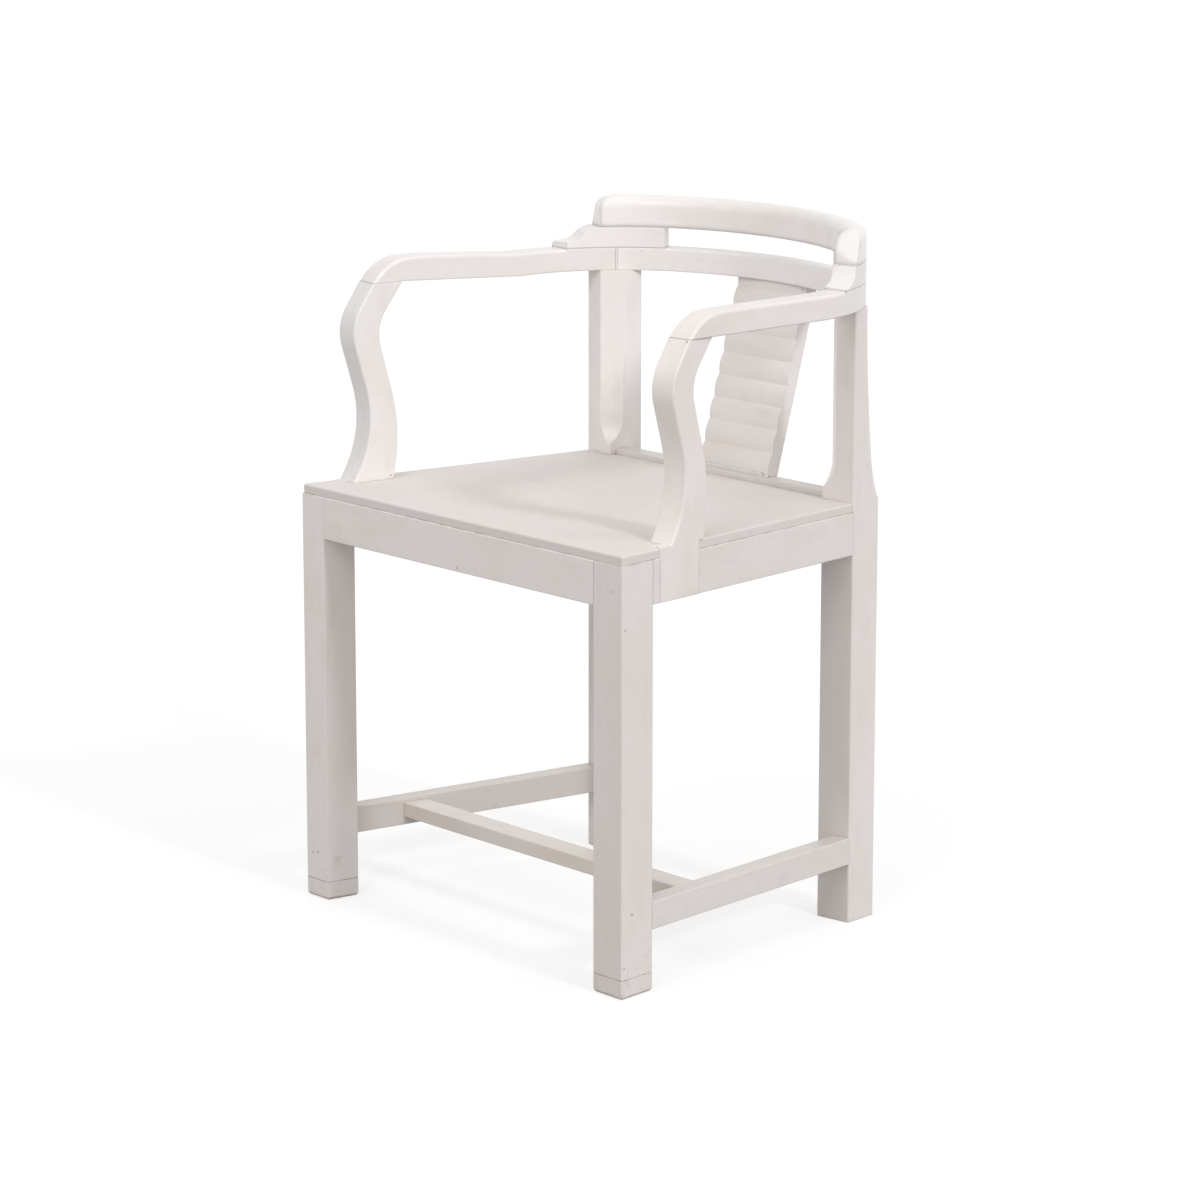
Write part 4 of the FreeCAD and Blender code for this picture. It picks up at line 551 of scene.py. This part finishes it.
coat_of = {
    "front_left_leg": dict(
        upright_paint, tone=0.98, scuffs=0.45, joints=(foot_line, board_line),
        spots=(((0.2476, -0.2119, 0.0838), 0.0018, 0.6), ((0.2491, -0.2235, 0.0320), 0.0015, 0.6),
               ((0.2331, -0.2267, 0.4034), 0.0018, 0.35))),
    "front_right_leg": dict(
        upright_paint, tone=1.05, scuffs=0.45, joints=(foot_line, board_line),
        spots=(((-0.2299, -0.2267, 0.0494), 0.0017, 0.6),
               ((-0.2385, -0.2267, 0.0476), 0.0014, 0.5))),
    "front_left_foot_block": dict(foot_paint, tone=0.97),
    "front_right_foot_block": dict(foot_paint, tone=1.03),
    "back_left_post": dict(upright_paint, scuffs=0.35),
    "back_right_post": dict(upright_paint, tone=1.10, hue=half_cooler_lit_white, scuffs=0.35),
    "left_arm_post": dict(
        upright_paint, tone=1.05, dirt_and_shade=0.3, joints=(left_head_line, *post_foot_lines),
        spots=(((0.2342, -0.1312, 0.6343), 0.0014, 0.7), ((0.2352, -0.1690, 0.4395), 0.0020, 0.8))),
    "right_arm_post": dict(
        upright_paint, tone=1.01, hue=cooler_lit_white, joints=(right_head_line,),
        spots=(((-0.2181, -0.1824, 0.4441), 0.0013, 0.5),
               ((-0.2081, -0.1415, 0.4436), 0.0013, 0.6))),
    "front_apron": dict(stroke="across", tone=1.04, joints=(board_line,),
                        spots=(((0.0023, -0.2267, 0.3902), 0.0022, 0.4),)),
    "back_rail": dict(stroke="across", tone=0.88, varnish=0.0),
    "left_apron": dict(stroke="left side", tone=0.97, joints=(*post_foot_lines, board_line)),
    "right_apron": dict(stroke="right side", joints=(board_line,)),
    "seat_front_board": dict(seat_paint, joints=(board_line,)),
    "seat_back_board": dict(seat_paint, joints=(board_line,),
                            spots=(((0.2237, -0.0362, 0.4345), 0.0014, 0.4),)),
    "left_arm": dict(bend_paint, tone=1.06, hue=half_cooler_lit_white, joints=(left_head_line, left_seam)),
    "right_arm": dict(bend_paint, tone=1.01, hue=half_cooler_lit_white, joints=(right_seam,)),
    "bow_rail": dict(bend_paint, tone=1.08, hue=cooler_lit_white, joints=(left_seam, right_seam),
                     spots=(((-0.1510, 0.1561, 0.6566), 0.0011, 0.6),)),
    "left_shoe": dict(shoe_paint, joints=(shoe_foot_line, crest_line)),
    "right_shoe": dict(shoe_paint, joints=(shoe_foot_line,)),
    "crest_rail": dict(bend_paint, tone=1.10, hue=cooler_lit_white, softness=0.008, arris_highlight=0.0,
                       varnish=0.5),
    "splat": dict(
        stroke="across", hue=half_cooler_lit_white, cloud=0.5, reach=0.008, arris_highlight=0.2,
        spots=(((0.0671, 0.1374, 0.4470), 0.0016, 0.5), ((0.0434, 0.2062, 0.6313), 0.0013, 0.5),
               ((0.0518, 0.1887, 0.5849), 0.0012, 0.5))),
    "left_side_stretcher": dict(low_paint, stroke="left side", tone=0.93),
    "right_side_stretcher": dict(low_paint, stroke="right side", tone=0.87, hue=warmer_shade_white),
    "cross_stretcher": dict(low_paint, stroke="across", hue=warmer_shade_white, scuffs=0.4),
}
coats = {piece: white_paint(f"white_paint_{piece}", **coat) for piece, coat in coat_of.items()}
print(len(coats), "coats of paint")

# %% [markdown]
# ## Bare wood under the seat
#
# The batten and the cleat under the seat, and the dowels and pegs inside the joints, were never
# painted. Plain brown wood needs rings and pores: rings are a stretched noise with many levels,
# pores are fine dark dashes along the grain.

# %% Group and material: bare wood
tree, given, out = new_group(
    "plain wood grain", [("Stroke", "place", None), ("Pale", "colour", (0.42, 0.27, 0.15, 1)),
                         ("Dark", "colour", (0.20, 0.115, 0.06, 1))],
    [("Colour", "colour"), ("Height", "value")])
rings = noise(tree, stretch(tree, given["Stroke"], (5, 130, 130)), 1.0, 5.0, 0.6, 1.2)
pores = noise(tree, stretch(tree, given["Stroke"], (60, 1500, 1500)), 1.0, 2.0, 0.5)
colour = blend(tree, between(tree, rings, 0.38, 0.66), given["Pale"], given["Dark"])
colour = blend(tree, between(tree, pores, 0.58, 0.7, 0.0, 0.6), colour, given["Dark"])
join(tree, colour, out["Colour"])
join(tree, sums(tree, "SUBTRACT", rings, pores), out["Height"])
wood_grain = tree


def bare_wood(name, stroke):
    """Dry unpainted wood."""
    material, tree = new_material(name)
    skin = tree.nodes["Principled BSDF"]
    place = use(tree, strokes[stroke])["Stroke"]
    grain = use(tree, wood_grain, Stroke=place)
    corners = use(tree, corner_dirt_and_shade, Stroke=place, Amount=0.6)
    # Painted shade and dirt: brown where the occlusion darkens the corners of the bare wood.
    colour = blend(tree, corners["Dirt and shade"], grain["Colour"], crack_and_shade_brown)
    join(tree, colour, skin.inputs["Base Color"])
    join(tree, between(tree, grain["Height"], -0.4, 0.6, 0.75, 0.6), skin.inputs["Roughness"])
    bump = add(tree, "ShaderNodeBump", {"Height": grain["Height"], "Strength": 0.3,
                                        "Distance": 0.0004})
    join(tree, bump.outputs[0], skin.inputs["Normal"])
    return material


bare_across = bare_wood("bare_wood_across", "across")
bare_upright = bare_wood("bare_wood_upright", "upright")
print("bare wood ready")

# %% [markdown]
# ## Painting the pieces
#
# Now every piece gets its coat. A piece keeps its shape, and only what is in its material slot
# changes.

# %% Give each piece its coat
finish_of = dict(coats)
for piece in ("seat_batten", "rear_seat_cleat", "arm_post_pegs"):
    finish_of[piece] = bare_across
for piece in ("foot_dowels", "crest_dowels", "seat_pegs"):
    finish_of[piece] = bare_upright
for piece, finish in finish_of.items():
    for slot in wood[piece].material_slots:
        slot.material = finish
unpainted = sorted(set(wood) - set(finish_of))
print(len(finish_of), "pieces finished,", len(unpainted), "without a finish", unpainted)

# %% [markdown]
# ## The floor
#
# The chair stands on a wide pale floor, and the page behind it is white. The floor is a plain
# diffuse paper. For the camera and for reflections a white glow is added that lifts the lit paper
# just to white. The shaded paper at the feet is lifted as much and stays a little greyer, so the
# soft shadow is kept. What glows must not light the chair, so a helper asks what kind of ray looks.

# %% Floor
def looking_rays(tree):
    """1 for rays of the camera, of reflections and through glass, and 0 for those that light."""
    rays = add(tree, "ShaderNodeLightPath").outputs
    seen = sums(tree, "MAXIMUM", rays["Is Camera Ray"], rays["Is Glossy Ray"])
    return sums(tree, "MAXIMUM", seen, rays["Is Transmission Ray"])


floor_mesh = bpy.data.meshes.new("floor")
half = 40.0
floor_mesh.from_pydata([(-half, -half, 0), (half, -half, 0), (half, half, 0), (-half, half, 0)],
                       [], [(0, 1, 2, 3)])
floor = bpy.data.objects.new("floor", floor_mesh)
bpy.context.scene.collection.objects.link(floor)
floor_paper, tree = new_material("white_paper_floor")
tree.nodes.clear()
paper_shade, paper_glow = 0.4, 0.66
paper = add(tree, "ShaderNodeBsdfDiffuse", {"Color": (paper_shade, paper_shade, paper_shade, 1)})
glow = sums(tree, "MULTIPLY", looking_rays(tree), paper_glow)
page = add(tree, "ShaderNodeEmission", {"Color": (1, 1, 1, 1), "Strength": glow})
lit = add(tree, "ShaderNodeAddShader", {0: paper.outputs[0], 1: page.outputs[0]})
add(tree, "ShaderNodeOutputMaterial", {"Surface": lit.outputs[0]})
floor_mesh.materials.append(floor_paper)
print("floor", 2 * half, "m wide")

# %% [markdown]
# ## Light
#
# A studio for a catalogue picture: a pale, slightly warm room all round and four soft lights. A
# small low one on the sitter's left lays the shadow of the arm across the seat, a broad one
# stands behind the left shoulder, a weak one in front, and a soft box hangs over the front of the
# chair. The first three are very far away and light everything evenly. The box is near the crest
# rail, so the rail and the arms are brighter than the legs. The levels add up to about one on a
# level surface, so a colour looks about as it is written. The room is seen as plain white paper.

# %% Room and lamps
world = bpy.data.worlds.new("pale room")
bpy.context.scene.world = world
world.use_nodes = True
tree = world.node_tree
tree.nodes.clear()
seen = looking_rays(tree)
room_white, room_level = (1, 0.972, 0.958, 1), 0.67
room = add(tree, "ShaderNodeBackground", {"Color": room_white, "Strength": room_level})
page = add(tree, "ShaderNodeBackground", {"Color": (1, 1, 1, 1), "Strength": 1.0})
mixed = add(tree, "ShaderNodeMixShader", {0: seen, 1: room.outputs[0], 2: page.outputs[0]})
add(tree, "ShaderNodeOutputWorld", {"Surface": mixed.outputs[0]})


def far_lamp(name, towards, level, width, colour):
    """A lamp far away, so many degrees wide. Level 1 alone shows a facing colour as written."""
    light = bpy.data.lights.new(name, "SUN")
    light.energy = level * math.pi
    light.angle = math.radians(width)
    light.color = colour
    lamp = bpy.data.objects.new(name, light)
    lamp.rotation_euler = Vector(towards).to_track_quat("Z", "Y").to_euler()
    bpy.context.scene.collection.objects.link(lamp)
    return lamp


def near_lamp(name, at, aim, level, size):
    """A square soft box. Level 1 alone shows a colour at its aim as it is written."""
    light = bpy.data.lights.new(name, "AREA")
    light.size = size
    reach = (Vector(at) - Vector(aim)).length
    light.energy = level * (math.pi * reach) ** 2
    lamp = bpy.data.objects.new(name, light)
    lamp.location = at
    lamp.rotation_euler = (Vector(at) - Vector(aim)).to_track_quat("Z", "Y").to_euler()
    bpy.context.scene.collection.objects.link(lamp)
    return lamp


cool, warm = (0.985, 0.985, 1.0), (1.0, 0.975, 0.96)
lamps = [
    far_lamp("low light on the left", (0.86, 0.0, 0.51), 0.32, 8, cool),
    far_lamp("soft light behind the left shoulder", (0.62, 0.38, 0.69), 0.07, 28, cool),
    far_lamp("front light", (0.30, -0.72, 0.62), 0.13, 25, warm),
    near_lamp("soft box over the front", (0.1, -0.7, 1.2), (0, 0.15, 0.68), 0.125, 0.6),
]
print("lamps:", [(lamp.name, round(lamp.data.energy, 2)) for lamp in lamps])

# %% [markdown]
# ## Camera
#
# The picture was taken from in front of the sitter's left, a little above the arms, with a long
# lens. The place, the direction and the lens were worked out from corners of the chair whose
# sizes are known.

# %% Camera
camera_data = bpy.data.cameras.new("camera")
camera_data.sensor_width = 36.0
camera_data.lens = 131.354
camera_data.clip_end = 200.0
camera = bpy.data.objects.new("camera", camera_data)
right = Vector((0.66022355, 0.7510689, 0.0006))
up = Vector((-0.16051394, 0.14031181, 0.97700966))
back = Vector((0.73371666, -0.64514192, 0.21319419))
place = Vector((3.2878, front_face - 2.6999, 1.2852))
turned = Matrix((right, up, back)).transposed().to_4x4()
camera.matrix_world = Matrix.Translation(place) @ turned
bpy.context.scene.collection.objects.link(camera)
bpy.context.scene.camera = camera
bpy.context.scene.view_settings.view_transform = "Standard"
print("camera at", [round(c, 3) for c in place], "lens", camera_data.lens)
